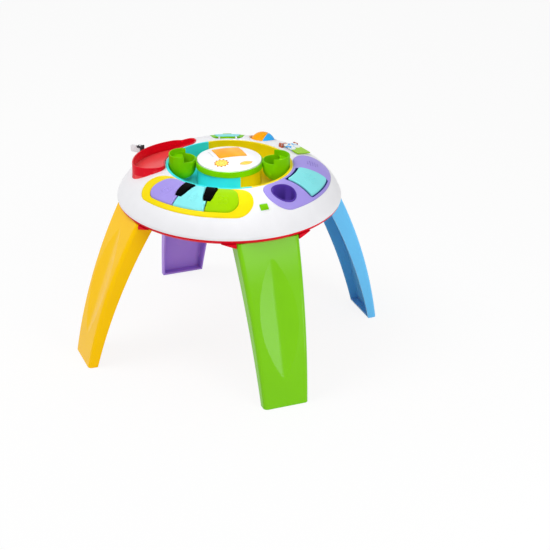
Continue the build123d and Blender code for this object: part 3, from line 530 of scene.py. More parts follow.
# How far the pieces of the ring stand proud of the dome
PANEL_PROUD = 0.8 * MM
KEY_PROUD = 2.2 * MM
BLACK_KEY_PROUD = 4.8 * MM
SOCKET_PROUD = 1.8 * MM
PLATE_PROUD = 3.0 * MM
KNOB_PROUD = 3.4 * MM
FLAP_PROUD = 0.9 * MM
TAB_PROUD = 3.6 * MM
INSERT_PROUD = 1.7 * MM
WELL_PROUD = 1.6 * MM

TRAY_FALL = 0.108
TRAY_DEPTH = 17.0 * MM
TRAY_MIDDLE = 143.0 * MM
TRAY_FLOOR_IN, TRAY_FLOOR_OUT = 116.8 * MM, 169.8 * MM
TRAY_LIP_INSET = 2.5 * MM
TRAY_LIP_DROP = 1.2 * MM
TRAY_KERB = 1.0 * MM
FLOOR_MARGIN = 0.5 * MM

CUP_ANGLE = 22.0
CUP_CENTRE = 83.2 * MM
CUP_INNER = 22.2 * MM
CUP_RAISE = 9.5 * MM
LEDGE_BITE = 0.5 * MM
LEDGE_SPAN = 0.96
LEDGE_STEPS, LEDGE_ARC_STEPS = 12, 32
LEDGE_INSET, LEDGE_WAVE = 3.0 * MM, 3.4 * MM
LEDGE_DROP, LEDGE_DEPTH = 0.9 * MM, 2.0 * MM

KEY_MOTIF_R = 152.0 * MM
PLATE_R, PLATE_ANGLE = 150.0 * MM, 1.7
KNOB_R, KNOB_ANGLE = 169.0 * MM, 315.0
GRILLE_R, GRILLE_ANGLE = 148.3 * MM, 27.3

PAGE_ANGLE = 62.0
PAGE_MIDDLE = 138.0 * MM
PAGE_WAVE_SCALE, PAGE_DROP_SCALE, PAGE_SPECK_SCALE = 60.0, 210.0, 120.0
MEADOW_EDGE, MEADOW_WAVE, MEADOW_SLANT = 31 * MM, 24 * MM, 0.35
DROP_LEVEL, SPECK_RADIUS = 0.62, 0.13

FLOWER_AT = Vector((0.0, -33.0)) * MM
FLOWER_RADIUS, FLOWER_WAVE, FLOWER_PETALS = 12.4 * MM, 1.5 * MM, 11
FLOWER_HEART = 9.8 * MM
LEAF_AT = Vector((38.0, -12.0)) * MM
LEAF_TURN, LEAF_POINT = 58.0, 0.6
LEAF_RIM = (27.0 * MM, 11.0 * MM)
LEAF_BLADE = (23.6 * MM, 8.6 * MM)
LEAF_VEIN = (21.0 * MM, 1.2 * MM)
DASH_START = Vector((-42.0, 4.0)) * MM
DASH_END = Vector((-25.0, -15.0)) * MM
DASH_TURN, DASH_SWAY = 30.0, 14.0
DASH_SIZE = (3.6 * MM, 1.1 * MM)
DASHES = 5

# Spacing of the remade top surfaces
SHELL_MESH = 7 * MM
PANEL_MESH = 5 * MM
DISC_MESH = 3.5 * MM
RIM_MESH = 3 * MM
BLACK_KEY_MESH = 2.5 * MM
TAB_MESH = 2 * MM
RELIEF_MESH = 0.9 * MM
KNOB_MESH = 0.5 * MM

# Limits for finding, joining and remaking the faces of a CAD mesh
SMOOTH_ANGLE = 34.0
MERGE_DISTANCE = 3e-6
SURFACE_TOLERANCE = 0.06 * MM
TOP_SLOPE = 0.2
WALL_SLOPE = 0.4
ROUND_STEPS = 4
MITRE_LIMIT = 0.35
ROW_STEP, EDGE_CLEARANCE = 0.866, 0.6
PLAN_SCALE = 1000

# Forms that the pieces share: the dome, the crowned disc and the tray's rim


def dome(lift):
    """Height over the plan of the surface that runs parallel to the dome."""

    def height(x, y):
        r = math.hypot(x, y) - DOME_R0
        return DOME_Z0 + math.sqrt(max((DOME_RADIUS + lift) ** 2 - r * r, 0.0))

    return height


def flat(z):
    return lambda x, y: z


def crown_ball():
    """Radius and centre height of the ball that the crowned disc is a cap of."""
    low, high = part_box("centre_cap")
    radius = (high.x - low.x) / 2
    apex = max(high.z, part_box("light_window")[1].z - WINDOW_PROUD)
    ball = (radius * radius + CROWN_RISE * CROWN_RISE) / (2 * CROWN_RISE)
    return ball, apex - ball


def crown(lift=0.0):
    """Height over the plan of the crowned disc."""
    ball, centre = crown_ball()

    def height(x, y):
        return centre + math.sqrt(max((ball + lift) ** 2 - x * x - y * y, 0.0))

    return height


def tray_rim():
    """Height over the plan of the tray's sloping rim, which ends in a kerb on the dome."""
    lip_z = dome(0.0)(WELL_RADIUS + TRAY_LIP_INSET, 0.0)
    kerb = dome(TRAY_KERB)

    def height(x, y):
        return max(lip_z - TRAY_LIP_DROP - TRAY_FALL * y, kerb(x, y))

    return height


def boundary_loops(faces):
    """Closed rings of vertices round a set of faces, with the faces on their left."""
    chosen = set(faces)
    following = {}
    for face in faces:
        for loop in face.loops:
            beside = loop.edge.link_faces
            if len(beside) == 1 or not chosen.issuperset(beside):
                following.setdefault(loop.vert, []).append(loop.link_loop_next.vert)
    rings = []
    while following:
        here = first = next(iter(following))
        ring = []
        while here in following:
            ring.append(here)
            there = following[here].pop()
            if not following[here]:
                del following[here]
            here = there
            if here is first:
                break
        if len(ring) > 2:
            rings.append(ring)
    return rings


def inward(points):
    """Mitred direction at each point of a closed plan ring, to the left of its travel."""
    pts = np.asarray(points)
    step = np.roll(pts, -1, 0) - pts
    step /= np.maximum(np.linalg.norm(step, axis=1), 1e-12)[:, None]
    left = np.stack([-step[:, 1], step[:, 0]], 1)
    before = np.roll(left, 1, 0)
    dot = (left * before).sum(1)
    return (left + before) / np.maximum(1 + dot, MITRE_LIMIT)[:, None]


def inside_rings(points, rings):
    """Even-odd test of plan points against all rings."""
    odd = np.zeros(len(points), bool)
    for ring in rings:
        ring = np.asarray(ring)
        nxt = np.roll(ring, -1, 0)
        for (x0, y0), (x1, y1) in zip(ring, nxt):
            if y0 == y1:
                continue
            crosses = (y0 > points[:, 1]) != (y1 > points[:, 1])
            at = x0 + (points[:, 1] - y0) * (x1 - x0) / (y1 - y0)
            odd ^= crosses & (points[:, 0] < at)
    return odd


def fill_top(bm, rings, height, spacing, relief):
    """Closes rings of vertices with an even mesh that follows a height function."""
    plan = [np.array([(v.co.x, v.co.y) for v in ring]) for ring in rings]
    edge_points = np.concatenate(plan)
    low, high = edge_points.min(0), edge_points.max(0)
    columns = np.arange(low[0] + spacing / 2, high[0], spacing)
    rows = np.arange(low[1] + spacing / 2, high[1], spacing * ROW_STEP)
    grid = np.array(
        [(x + (spacing / 2 if k % 2 else 0.0), y) for k, y in enumerate(rows) for x in columns]
    ).reshape(-1, 2)
    if len(grid):
        grid = grid[inside_rings(grid, plan)]
    keep = [p for p in grid if ((edge_points - p) ** 2).sum(1).min() > (EDGE_CLEARANCE * spacing) ** 2]
    corners = [Vector(p) * PLAN_SCALE for p in (*edge_points, *keep)]
    edges = []
    start = 0
    for ring in plan:
        count = len(ring)
        edges += [(start + k, start + (k + 1) % count) for k in range(count)]
        start += count
    out, _, triangles, source, _, _ = delaunay_2d_cdt(corners, edges, [], 0, 1e-6, True)
    border = [v for ring in rings for v in ring]
    verts = []
    for point, ids in zip(out, source):
        known = [k for k in ids if k < len(border)]
        if known:
            verts.append(border[known[0]])
        else:
            x, y = point.x / PLAN_SCALE, point.y / PLAN_SCALE
            verts.append(bm.verts.new((x, y, height(x, y) + (relief(x, y) if relief else 0.0))))
    thirds = 3 * PLAN_SCALE
    middles = np.array([[sum(out[k][i] for k in tri) / thirds for i in (0, 1)] for tri in triangles])
    wanted = inside_rings(middles, plan)
    for tri, good in zip(triangles, wanted):
        if good and len({verts[k] for k in tri}) == 3:
            corners3 = [verts[k] for k in tri]
            a, b, c = (v.co for v in corners3)
            if (b - a).cross(c - a).z < 0:
                corners3.reverse()
            if not bm.faces.get(corners3):
                bm.faces.new(corners3)


def round_over(bm, faces, height, edge, spacing, relief):
    """Rounds the edges of a top surface over its upright walls and remakes the surface evenly."""
    rings = boundary_loops(faces)
    chosen = set(faces)
    walls = {}
    for ring in rings:
        for v in ring:
            others = [f for f in v.link_faces if f not in chosen]
            upright = [abs(f.normal.z) < WALL_SLOPE for f in others]
            below = [f.calc_center_median().z < v.co.z + 1e-5 for f in others]
            walls[v] = bool(others) and all(upright) and all(below)
    bmesh.ops.delete(bm, geom=list(faces), context="FACES")
    inner_rings = []
    for ring in rings:
        flat_ring = np.array([(v.co.x, v.co.y) for v in ring])
        lead = inward(flat_ring)
        free = [walls[v] for v in ring]
        previous = list(ring)
        for v, moves in zip(ring, free):
            if moves:
                v.co.z -= edge
        for k in range(1, ROUND_STEPS + 1):
            angle = math.pi / 2 * k / ROUND_STEPS
            inset = edge * (1 - math.cos(angle))
            drop = edge * (1 - math.sin(angle))
            current = []
            for v, p, d, moves in zip(ring, flat_ring, lead, free):
                if not moves:
                    current.append(v)
                    continue
                x, y = p + d * inset
                current.append(bm.verts.new((x, y, height(x, y) - drop)))
            for j in range(len(ring)):
                n = (j + 1) % len(ring)
                quad = []
                for v in (previous[j], previous[n], current[n], current[j]):
                    if v not in quad:
                        quad.append(v)
                if len(quad) > 2 and not bm.faces.get(quad):
                    bm.faces.new(quad)
            previous = current
        inner_rings.append(previous)
    fill_top(bm, inner_rings, height, spacing, relief)


def merged_copy(node):
    """A CAD node's triangles, joined at their corners."""
    bm = bmesh.new()
    bm.from_mesh(frame["nodes"][node].data)
    bmesh.ops.remove_doubles(bm, verts=bm.verts, dist=MERGE_DISTANCE)
    bm.normal_update()
    return bm


def as_mesh(bm, name):
    mesh = bpy.data.meshes.new(name)
    bm.to_mesh(mesh)
    bm.free()
    return mesh


def stand_in(node, bm, material=None):
    """A reworked copy of a CAD node takes its place."""
    name = node + "_moulding"
    obj = add_piece(name, as_mesh(bm, name), body_of(node), slot_of(node), material)
    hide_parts(node)
    return obj


def soften(node, *tops, relief=None, material=None):
    """A copy of a CAD node with rounded top edges stands for it.
    Each top is (height function, edge radius, mesh spacing)."""
    bm = merged_copy(node)
    for height, edge, spacing in tops:

        def on_surface(v):
            return abs(v.co.z - height(v.co.x, v.co.y)) < SURFACE_TOLERANCE

        faces = [f for f in bm.faces if f.normal.z > TOP_SLOPE and all(map(on_surface, f.verts))]
        if not faces:
            raise ValueError(f"{node} has no face on the given surface")
        round_over(bm, faces, height, edge, spacing, relief)
        bm.normal_update()
    return stand_in(node, bm, material)


def bevelled(node, width, angle=35.0):
    """A copy of a flat-faced CAD node with every sharp edge rounded stands for it."""
    bm = merged_copy(node)
    bmesh.ops.dissolve_limit(bm, angle_limit=math.radians(1.0), verts=bm.verts, edges=bm.edges)
    limit = math.radians(angle)
    sharp = [e for e in bm.edges if len(e.link_faces) == 2 and e.calc_face_angle(0.0) > limit]
    rounding = {"offset_type": "OFFSET", "segments": 3, "profile": 0.5, "affect": "EDGES"}
    bmesh.ops.bevel(bm, geom=sharp, offset=width, clamp_overlap=True, **rounding)
    return stand_in(node, bm)


def laid_plate(name, rings, surface, lift, depth, body, slot, material=None, spacing=2.0 * MM):
    """A thin closed plate with the given plan rings, laid on a surface."""
    bm = bmesh.new()

    def height(x, y):
        return surface(x, y) + lift

    loops = [[bm.verts.new((x, y, height(x, y))) for x, y in ring] for ring in rings]
    fill_top(bm, loops, height, spacing, None)
    under = {v: bm.verts.new(v.co - Vector((0, 0, depth))) for v in list(bm.verts)}
    for face in list(bm.faces):
        bm.faces.new([under[v] for v in reversed(face.verts)])
    for ring in loops:
        for a, b in zip(ring, ring[1:] + ring[:1]):
            bm.faces.new((b, a, under[a], under[b]))
    bmesh.ops.recalc_face_normals(bm, faces=bm.faces)
    return add_piece(name, as_mesh(bm, name), body, slot, material)


def outline(centre, radius, count=72):
    """Closed plan ring whose radius is a function of the angle."""
    ring = []
    for k in range(count):
        angle = 2 * math.pi * k / count
        r = radius(angle)
        ring.append((centre.x + r * math.cos(angle), centre.y + r * math.sin(angle)))
    return ring


def leaf(centre, heading, length, width, count=24):
    """Pointed leaf in plan."""
    along = polar(1.0, heading)
    ring = []
    for k in range(count):
        t = 2 * math.pi * k / count
        u = length / 2 * math.cos(t)
        v = width / 2 * math.sin(t) * abs(math.sin(t)) ** LEAF_POINT
        ring.append((centre.x + along.x * u - along.y * v, centre.y + along.y * u + along.x * v))
    return ring


def dot_rings():
    """Tree that lays a ring of round dots on the crowned disc."""
    group = Group("dot_ring")
    count = group.setting("Count", "NodeSocketInt")
    ring, dot, thick = map(group.setting, ("Ring radius", "Dot radius", "Thickness"))
    centre = group.setting("Centre", "NodeSocketVector")
    ball, low = map(group.setting, ("Crown radius", "Crown centre"))
    material = group.setting("Material", "NodeSocketMaterial")
    circle = group.node("GeometryNodeMeshCircle", {}, {"Vertices": count, "Radius": ring})
    circle = group.node("GeometryNodeTransform", {}, {"Geometry": circle, "Translation": centre})
    coin = group.node("GeometryNodeMeshCylinder", {}, {"Vertices": 20, "Radius": dot, "Depth": thick})
    coins = group.copies(circle, coin)
    plan = group.flattened(group.node("GeometryNodeInputPosition"))
    far = group.vector("DOT_PRODUCT", plan, plan)
    rise = low + (ball * ball - far) ** 0.5
    group.finish(group.raised(coins, rise), material)
    return group


def perforations():
    """Tree that drills a round patch of small holes into a panel of the dome."""
    group = Group("perforations")
    pitch, hole, patch, depth = map(group.setting, ("Pitch", "Hole radius", "Patch radius", "Depth"))
    centre = group.setting("Centre", "NodeSocketVector")
    twist = group.setting("Turn", "NodeSocketVector")
    material = group.setting("Material", "NodeSocketMaterial")
    whole = group.node("ShaderNodeMath", {"operation": "DIVIDE"}, {0: patch, 1: pitch})
    steps = group.node("ShaderNodeMath", {"operation": "FLOOR"}, {0: whole})
    count = steps * 2.0 + 1.0
    reach = steps * pitch * 2.0
    grid = group.node(
        "GeometryNodeMeshGrid",
        {},
        {"Size X": reach, "Size Y": reach, "Vertices X": count, "Vertices Y": count},
    )
    place = group.node("GeometryNodeInputPosition")
    far = group.vector("LENGTH", place)
    grid = group.node(
        "GeometryNodeDeleteGeometry", {"domain": "POINT"}, {"Geometry": grid, "Selection": far > patch}
    )
    grid = group.node(
        "GeometryNodeTransform", {}, {"Geometry": grid, "Translation": centre, "Rotation": twist}
    )
    out = group.vector("LENGTH", group.flattened(place)) - DOME_R0
    rise = DOME_Z0 + (DOME_RADIUS * DOME_RADIUS - out * out) ** 0.5
    grid = group.raised(grid, rise)
    drill = group.node("GeometryNodeMeshCylinder", {}, {"Vertices": 16, "Radius": hole, "Depth": depth * 2.0})
    drills = group.copies(grid, drill)
    cut = group.node(
        "GeometryNodeMeshBoolean", {"operation": "DIFFERENCE", "solver": "EXACT"}, {0: group.mesh, 1: drills}
    )
    group.finish(cut, material)
    return group


def polar(r, degrees):
    return Vector((r * math.cos(math.radians(degrees)), r * math.sin(math.radians(degrees))))


def ridge(distance, half, soft):
    """Soft-edged raised line at a distance from its middle."""
    t = min(max((half + soft - abs(distance)) / (2 * soft), 0.0), 1.0)
    return t * t * (3 - 2 * t)


# Raised line drawings. Each gives the distance in millimetres from a point to its nearest line.

LINE_HALF = 0.75 * MM
LINE_SOFT = 0.6 * MM
LINE_END = 4.0
CURL_PITCH, CURL_RADIUS = 4.8, 11.0
BLOSSOM_RADIUS, BLOSSOM_WAVE, BLOSSOM_PETALS, BLOSSOM_HEART = 8.8, 2.0, 5, 3.4
LOBE_PLACE, LOBE_RADIUS = 4.6, 4.4
STEM_BEND, STEM_HALF = 0.03, 15.0
SPRIG_LEAVES = ((1, -8.0), (-1, -3.0), (1, 2.0), (-1, 7.0))
SPRIG_LEAF_OUT, SPRIG_LEAF_UP = 6.0, 2.5
SPRIG_LEAF_COS, SPRIG_LEAF_SIN = 0.86, 0.5
SPRIG_LEAF_LONG, SPRIG_LEAF_WIDE, SPRIG_LEAF_LINE = 6.2, 2.9, 3.4
RIB_PITCH = 2.2


def motif(r, degrees, line):
    """Relief of a line drawing round a point of the top, turned to face outwards."""
    centre = polar(r, degrees)
    along = polar(1.0, degrees)
    height = sizes().relief

    def relief(x, y):
        dx, dy = x - centre.x, y - centre.y
        v = dx * along.x + dy * along.y
        u = dy * along.x - dx * along.y
        return height * ridge(line(u / MM, v / MM) * MM, LINE_HALF, LINE_SOFT)

    return relief


def curl(u, v):
    rho, phi = math.hypot(u, v), math.atan2(v, u)
    gap = (rho - CURL_PITCH * phi / (2 * math.pi)) % CURL_PITCH
    return min(gap, CURL_PITCH - gap) + max(rho - CURL_RADIUS, 0.0) * LINE_END


def blossom(u, v):
    rho, phi = math.hypot(u, v), math.atan2(v, u)
    edge = BLOSSOM_RADIUS + BLOSSOM_WAVE * math.cos(BLOSSOM_PETALS * phi)
    return min(abs(rho - edge), abs(rho - BLOSSOM_HEART))


def cloverleaf(u, v):
    lobes = [(i * LOBE_PLACE, j * LOBE_PLACE) for i in (1, -1) for j in (1, -1)]
    return min(abs(math.hypot(u - a, v - b) - LOBE_RADIUS) for a, b in lobes)


def sprig(u, v):
    stem = abs(u - STEM_BEND * v * v) + max(abs(v) - STEM_HALF, 0.0) * LINE_END
    leaves = []
    for side, height in SPRIG_LEAVES:
        du = side * (u - STEM_BEND * height * height) - SPRIG_LEAF_OUT
        dv = v - height - SPRIG_LEAF_UP
        along = SPRIG_LEAF_COS * du + SPRIG_LEAF_SIN * dv
        over = SPRIG_LEAF_COS * dv - SPRIG_LEAF_SIN * du
        oval = math.hypot(along / SPRIG_LEAF_LONG, over / SPRIG_LEAF_WIDE)
        leaves.append(abs(oval - 1.0) * SPRIG_LEAF_LINE)
    return min(stem, *leaves)


def ribs(u, v):
    return min(abs(u - k * RIB_PITCH) for k in (-1, 0, 1))


# Operators, one for each group of pieces


class DressShell(bpy.types.Operator):
    """Domed top and red housing"""

    bl_idname = "table.dress_shell"
    bl_label = "Domed top and housing"

    def execute(self, context):
        soften("top_shell", (dome(0.0), sizes().shell_edge, SHELL_MESH))
        paint("base_shell", "battery_door", "door_screw")
        return {"FINISHED"}


class DressLegs(bpy.types.Operator):
    """Four moulded legs and their screws"""

    bl_idname = "table.dress_legs"
    bl_label = "Legs"

    def execute(self, context):
        for corner in ("front_right", "front_left", "back_left", "back_right"):
            paint("leg_" + corner, "screw_" + corner)
        glossy = moulded("green_glossy", colours().green, **FRONT_LEG_POLISH)
        dress(frame["nodes"]["leg_front_right"], glossy)
        return {"FINISHED"}


class DressBowl(bpy.types.Operator):
    """Two-coloured bowl, spindle and washer"""

    bl_idname = "table.dress_bowl"
    bl_label = "Bowl"

    def execute(self, context):
        paint("bowl_turquoise", "bowl_yellow", "spindle", "thrust_washer", "light_board")
        return {"FINISHED"}


class DressDisc(bpy.types.Operator):
    """Crowned disc with its light window"""

    bl_idname = "table.dress_disc"
    bl_label = "Crowned disc"

    def execute(self, context):
        soften("centre_cap", (crown(), sizes().cap_edge, DISC_MESH))
        tones = colours()
        swirled = clear_plastic("window_swirl", tones.amber, 9.0, tones.window_light)
        soften("light_window", (crown(WINDOW_PROUD), sizes().window_edge, DISC_MESH), material=swirled)
        self.print_flower()
        self.print_leaf()
        self.print_dashes()
        return {"FINISHED"}

    def ink(self, tone):
        return moulded("print_" + tone, getattr(colours(), "print_" + tone))

    def lay(self, name, rings, level, layers, slot, tone):
        """Print whose top lies at a level; the level and the layers count its thickness."""
        thick, body = sizes().print_lift, body_of("centre_cap")
        laid_plate(name, rings, crown(), level * thick, layers * thick, body, slot, self.ink(tone))

    def print_flower(self):
        petals = outline(
            FLOWER_AT, lambda a: FLOWER_RADIUS + FLOWER_WAVE * math.cos(FLOWER_PETALS * a), 12 * FLOWER_PETALS
        )
        self.lay("flower_petals", [petals], 1.0, 2, "amber", "warm")
        heart = outline(FLOWER_AT, lambda a: FLOWER_HEART)
        self.lay("flower_heart", [heart], 1.6, 1, "yellow", "pale")
        tree = dot_rings()
        thick, dark = sizes().print_lift, self.ink("dark")
        ball, centre = crown_ball()
        shared = {"Thickness": 2 * thick, "Centre": (*FLOWER_AT, 0.0), "Crown radius": ball, "Material": dark}
        for name, count, ring, dot, level in (
            ("flower_rim_dots", FLOWER_PETALS, 12.3 * MM, 1.25 * MM, 1.4),
            ("flower_seeds", 7, 5.2 * MM, 0.8 * MM, 2.0),
        ):
            low = centre + level * thick - thick
            values = {"Count": count, "Ring radius": ring, "Dot radius": dot, "Crown centre": low, **shared}
            mesh = tree.run(bpy.data.meshes.new(name), values)
            add_piece(name, mesh, body_of("centre_cap"), "brick", dark)

    def print_leaf(self):
        rim = leaf(LEAF_AT, LEAF_TURN, *LEAF_RIM, 48)
        blade = leaf(LEAF_AT, LEAF_TURN, *LEAF_BLADE, 48)
        vein = leaf(LEAF_AT, LEAF_TURN, *LEAF_VEIN)
        self.lay("leaf_rim", [rim], 1.0, 2, "amber", "warm")
        self.lay("leaf_blade", [blade], 1.6, 1, "yellow", "pale")
        self.lay("leaf_vein", [vein], 2.2, 1, "amber", "warm")

    def print_dashes(self):
        dashes = []
        for k in range(DASHES):
            middle = DASH_START.lerp(DASH_END, k / (DASHES - 1))
            heading = DASH_TURN + (DASH_SWAY if k % 2 else -DASH_SWAY)
            dashes.append(leaf(middle, heading, *DASH_SIZE))
        self.lay("small_dashes", dashes, 1.0, 2, "charcoal", "grey")


class DressCarousel(bpy.types.Operator):
    """Green hub ring and its two cups"""

    bl_idname = "table.dress_carousel"
    bl_label = "Carousel"

    def execute(self, context):
        edge = sizes().rim_edge
        hub_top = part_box("carousel_hub")[1].z
        soften("carousel_hub", (flat(hub_top), edge, RIM_MESH))
        for node in ("cup_right", "cup_left"):
            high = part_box(node)[1].z
            rim = high - CUP_RAISE
            soften(node, (flat(high), edge, RIM_MESH), (flat(rim), edge, RIM_MESH))
            heading = CUP_ANGLE + (180.0 if node == "cup_left" else 0.0)
            self.add_ledge(node, heading, rim)
        return {"FINISHED"}

    def add_ledge(self, node, heading, rim):
        """Shelf in the raised half of a cup, with a waved inner edge."""
        centre, out = polar(CUP_CENTRE, heading), polar(1.0, heading)
        reach = CUP_INNER + LEDGE_BITE
        local = []
        for k in range(2 * LEDGE_STEPS + 1):
            w = reach * LEDGE_SPAN * (1 - k / LEDGE_STEPS)
            local.append((LEDGE_INSET + LEDGE_WAVE * math.sin(math.pi * w / reach), w))
        first = math.atan2(local[-1][1], local[-1][0])
        last = math.atan2(local[0][1], local[0][0])
        for k in range(1, LEDGE_ARC_STEPS):
            a = first + (last - first) * k / LEDGE_ARC_STEPS
            local.append((reach * math.cos(a), reach * math.sin(a)))
        ring = [(centre.x + out.x * u - out.y * w, centre.y + out.y * u + out.x * w) for u, w in local]
        name, body = node + "_ledge", body_of(node)
        laid_plate(name, [ring], flat(rim), -LEDGE_DROP, LEDGE_DEPTH, body, "green", spacing=RIM_MESH)


class DressPiano(bpy.types.Operator):
    """Yellow bezel, coloured keys and black keys"""

    bl_idname = "table.dress_piano"
    bl_label = "Piano"

    def execute(self, context):
        edge = sizes().key_edge
        soften("piano_bezel", (dome(PANEL_PROUD), sizes().panel_edge, PANEL_MESH))
        for node, angle, line in (
            ("key_purple", 248.8, curl),
            ("key_turquoise", 270.3, blossom),
            ("key_green", 290.5, cloverleaf),
        ):
            soften(node, (dome(KEY_PROUD), edge, RELIEF_MESH), relief=motif(KEY_MOTIF_R, angle, line))
        for node in ("black_key_left", "black_key_right"):
            soften(node, (dome(BLACK_KEY_PROUD), edge, BLACK_KEY_MESH))
        return {"FINISHED"}


class DressSidePanel(bpy.types.Operator):
    """Lilac side panel, peg socket and press plate"""

    bl_idname = "table.dress_side_panel"
    bl_label = "Side panel"

    def execute(self, context):
        panel = soften("side_panel", (dome(PANEL_PROUD), sizes().panel_edge, PANEL_MESH))
        grille = {
            "Pitch": sizes().hole_pitch,
            "Hole radius": sizes().hole_radius,
            "Patch radius": sizes().grille_radius,
            "Depth": sizes().hole_depth,
            "Centre": (*polar(GRILLE_R, GRILLE_ANGLE), 0.0),
            "Turn": (0.0, 0.0, math.radians(GRILLE_ANGLE)),
            "Material": finish_of("lilac"),
        }
        panel.data = perforations().run(panel.data, grille)
        soften("peg_socket", (dome(SOCKET_PROUD), sizes().socket_edge, RIM_MESH))
        drawing = motif(PLATE_R, PLATE_ANGLE, sprig)
        soften("press_plate", (dome(PLATE_PROUD), sizes().key_edge, RELIEF_MESH), relief=drawing)
        paint("plate_liner", "speaker", "main_board")
        return {"FINISHED"}


def painted_sheen_on_tray_floor(finish, place):
    """One on the floor between the tray's walls, where the lighter red of a painted reflection goes, and
    nought elsewhere.
    """
    out = finish.vector("LENGTH", finish.flattened(place))
    level = finish.vector("DOT_PRODUCT", place, (0.0, TRAY_FALL, 1.0))
    floor_level = tray_rim()(-TRAY_MIDDLE, 0.0) - TRAY_DEPTH
    return (level < floor_level + FLOOR_MARGIN) * (out > TRAY_FLOOR_IN) * (out < TRAY_FLOOR_OUT)


class DressTray(bpy.types.Operator):
    """Red ramp tray, paddle and bracket"""

    bl_idname = "table.dress_tray"
    bl_label = "Ramp tray"

    def execute(self, context):
        tones = colours()
        # The tray floor gets a painted reflection of the top light, a lighter red, in place of the plain red.
        red = moulded("tray_red", tones.red, rough=0.22, shine=0.1, pale=(tones.red_sheen, painted_sheen_on_tray_floor))
        soften("ramp_tray", (tray_rim(), sizes().tray_edge, RIM_MESH), material=red)
        bevelled("paddle_bracket", sizes().small_edge)
        bevelled("paddle", sizes().small_edge)
        return {"FINISHED"}


class DressBackPanel(bpy.types.Operator):
    """Back panel, flap, ball well, ball and page"""

    bl_idname = "table.dress_back_panel"
    bl_label = "Back panel"

    def execute(self, context):
        edge = sizes().panel_edge
        soften("back_panel", (dome(PANEL_PROUD), edge, PANEL_MESH))
        soften("lift_flap", (dome(FLAP_PROUD), edge, RIM_MESH), (dome(TAB_PROUD), edge, TAB_MESH))
        soften("flap_insert", (dome(INSERT_PROUD), sizes().insert_edge, RIM_MESH))
        soften("ball_well", (dome(WELL_PROUD), sizes().well_edge, RIM_MESH))
        paint("ball_half_orange", "ball_half_blue", "page_spine", "page")
        dress(frame["nodes"]["page"], printed_page())
        return {"FINISHED"}


class DressInside(bpy.types.Operator):
    """Power switch, battery box and cells"""

    bl_idname = "table.dress_inside"
    bl_label = "Switch and battery box"

    def execute(self, context):
        grip = motif(KNOB_R, KNOB_ANGLE, ribs)
        soften("switch_knob", (dome(KNOB_PROUD), sizes().knob_edge, KNOB_MESH), relief=grip)
        paint("switch_body", "battery_box", "cell_one", "cell_two", "cell_three")
        return {"FINISHED"}


FLOOR_HALF = 6.0
VIEW_LIMIT = 50.0
WHITE = (1.0, 1.0, 1.0)
TABLE_MIDDLE = (0.0, 0.0, 0.25)
LEG_MIDDLE = (0.21, -0.21, 0.14)
BOWL_MIDDLE = (0.02, -0.04, 0.325)


def soft_lamp(name, place, aim, width, power, spread=180.0):
    """Round area lamp that the camera doesn't see."""
    lamp = bpy.data.lights.new(name, "AREA")
    lamp.shape = "DISK"
    lamp.size = width
    lamp.energy = power
    lamp.spread = math.radians(spread)
    obj = bpy.data.objects.new(name, lamp)
    bpy.context.scene.collection.objects.link(obj)
    obj.location = place
    obj.visible_camera = False
    obj.rotation_euler = (Vector(aim) - Vector(place)).to_track_quat("-Z", "Y").to_euler()
    return obj


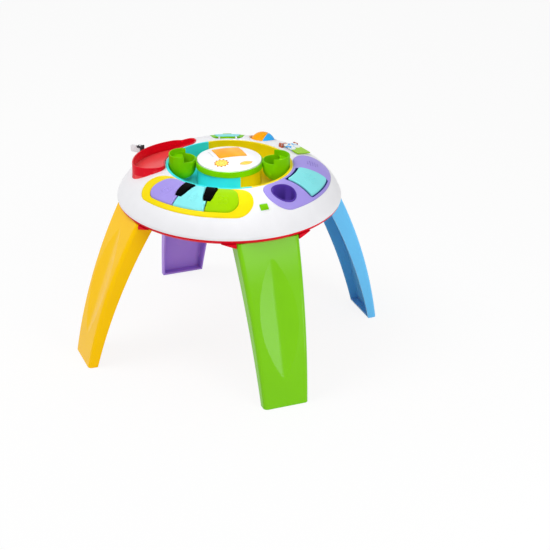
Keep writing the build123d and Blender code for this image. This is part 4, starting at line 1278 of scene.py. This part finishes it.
class SetStage(bpy.types.Operator):
    """Pale floor, soft lamps and the camera"""

    bl_idname = "table.set_stage"
    bl_label = "Stage"

    def execute(self, context):
        context.scene.view_settings.view_transform = "Standard"
        settings = stage_settings()
        self.lay_floor(context.scene, settings)
        self.set_sky(context.scene, settings)
        self.hang_lamps(settings)
        self.place_camera(context.scene, settings)
        return {"FINISHED"}

    def lay_floor(self, scene, settings):
        mesh = bpy.data.meshes.new("floor")
        corners = [(x * FLOOR_HALF, y * FLOOR_HALF, 0) for x, y in ((-1, -1), (1, -1), (1, 1), (-1, 1))]
        mesh.from_pydata(corners, [], [(0, 1, 2, 3)])
        floor = bpy.data.objects.new("floor", mesh)
        scene.collection.objects.link(floor)
        finish = Finish("studio_floor")
        plain = finish.node("ShaderNodeBsdfDiffuse", {}, {"Color": settings.floor_colour})
        bright = finish.node("ShaderNodeEmission", {}, {"Color": WHITE, "Strength": 1.0})
        glow = (finish.ray("Camera") + finish.ray("Glossy")) * settings.floor_glow
        mixed = finish.node("ShaderNodeMixShader", {}, {0: glow, 1: plain, 2: bright})
        finish.close("ShaderNodeOutputMaterial", mixed)
        dress(floor, finish.material)

    def set_sky(self, scene, settings):
        """White where it is seen, mirrored or looked at through a piece, and softer as a light."""
        world = bpy.data.worlds.new("studio")
        scene.world = world
        world.use_nodes = True
        net = Net(world.node_tree)
        bare = net.ray("Camera") + net.ray("Transmission") + net.ray("Glossy")
        level = bare * (1.0 - settings.sky_level) + settings.sky_level
        sky = net.node("ShaderNodeBackground", {}, {"Color": WHITE, "Strength": level})
        net.close("ShaderNodeOutputWorld", sky)

    def hang_lamps(self, settings):
        lamps = [
            soft_lamp("key_lamp", (-0.9, -0.8, 2.3), TABLE_MIDDLE, 1.3, settings.key_power),
            soft_lamp("fill_lamp", (2.1, -1.1, 1.6), TABLE_MIDDLE, 1.2, settings.fill_power),
            soft_lamp("leg_lamp", (1.35, -0.37, 0.22), LEG_MIDDLE, 0.4, settings.leg_power),
            soft_lamp("bowl_lamp", (0.3, -0.62, 0.98), BOWL_MIDDLE, 0.1, settings.bowl_power, 16.0),
        ]

    def place_camera(self, scene, settings):
        cam = bpy.data.cameras.new("camera")
        cam.sensor_width = SENSOR
        cam.lens = settings.focal_pixels / IMAGE_SIDE * SENSOR
        cam.shift_x = (IMAGE_SIDE / 2 - settings.centre_pixels) / IMAGE_SIDE
        cam.clip_end = VIEW_LIMIT
        obj = bpy.data.objects.new("camera", cam)
        scene.collection.objects.link(obj)
        a, e = settings.azimuth, settings.elevation
        back = Vector((math.sin(a) * math.cos(e), -math.cos(a) * math.cos(e), math.sin(e)))
        obj.location = Vector((0, 0, settings.aim_height)) + back * settings.distance
        obj.rotation_euler = (-back).to_track_quat("-Z", "Y").to_euler()
        scene.camera = obj


OPERATORS = (
    DressShell, DressLegs, DressBowl, DressDisc, DressCarousel, DressPiano,
    DressSidePanel, DressTray, DressBackPanel, DressInside, SetStage,
)
GROUPS = {"table_colours": TableColours, "table_sizes": TableSizes, "table_stage": StageSettings}


class TablePanel(bpy.types.Panel):
    """Sizes, colours and steps of the activity table"""

    bl_idname = "VIEW3D_PT_activity_table"
    bl_label = "Activity table"
    bl_space_type = "VIEW_3D"
    bl_region_type = "UI"
    bl_category = "Table"

    def draw(self, context):
        for group in GROUPS:
            box = self.layout.box()
            settings = getattr(context.scene, group)
            for key in settings.bl_rna.properties.keys():
                if key not in ("rna_type", "name"):
                    box.prop(settings, key)
        for operator in OPERATORS:
            self.layout.operator(operator.bl_idname)


def register():
    for group in GROUPS.values():
        bpy.utils.register_class(group)
    for name, group in GROUPS.items():
        setattr(bpy.types.Scene, name, bpy.props.PointerProperty(type=group))
    for cls in (*OPERATORS, TablePanel):
        bpy.utils.register_class(cls)


def unregister():
    for cls in (TablePanel, *reversed(OPERATORS)):
        bpy.utils.unregister_class(cls)
    for name in GROUPS:
        delattr(bpy.types.Scene, name)
    for group in reversed(list(GROUPS.values())):
        bpy.utils.unregister_class(group)


def main():
    register()
    for operator in OPERATORS:
        group, step = operator.bl_idname.split(".")
        getattr(getattr(bpy.ops, group), step)()


if __name__ == "__main__":
    main()
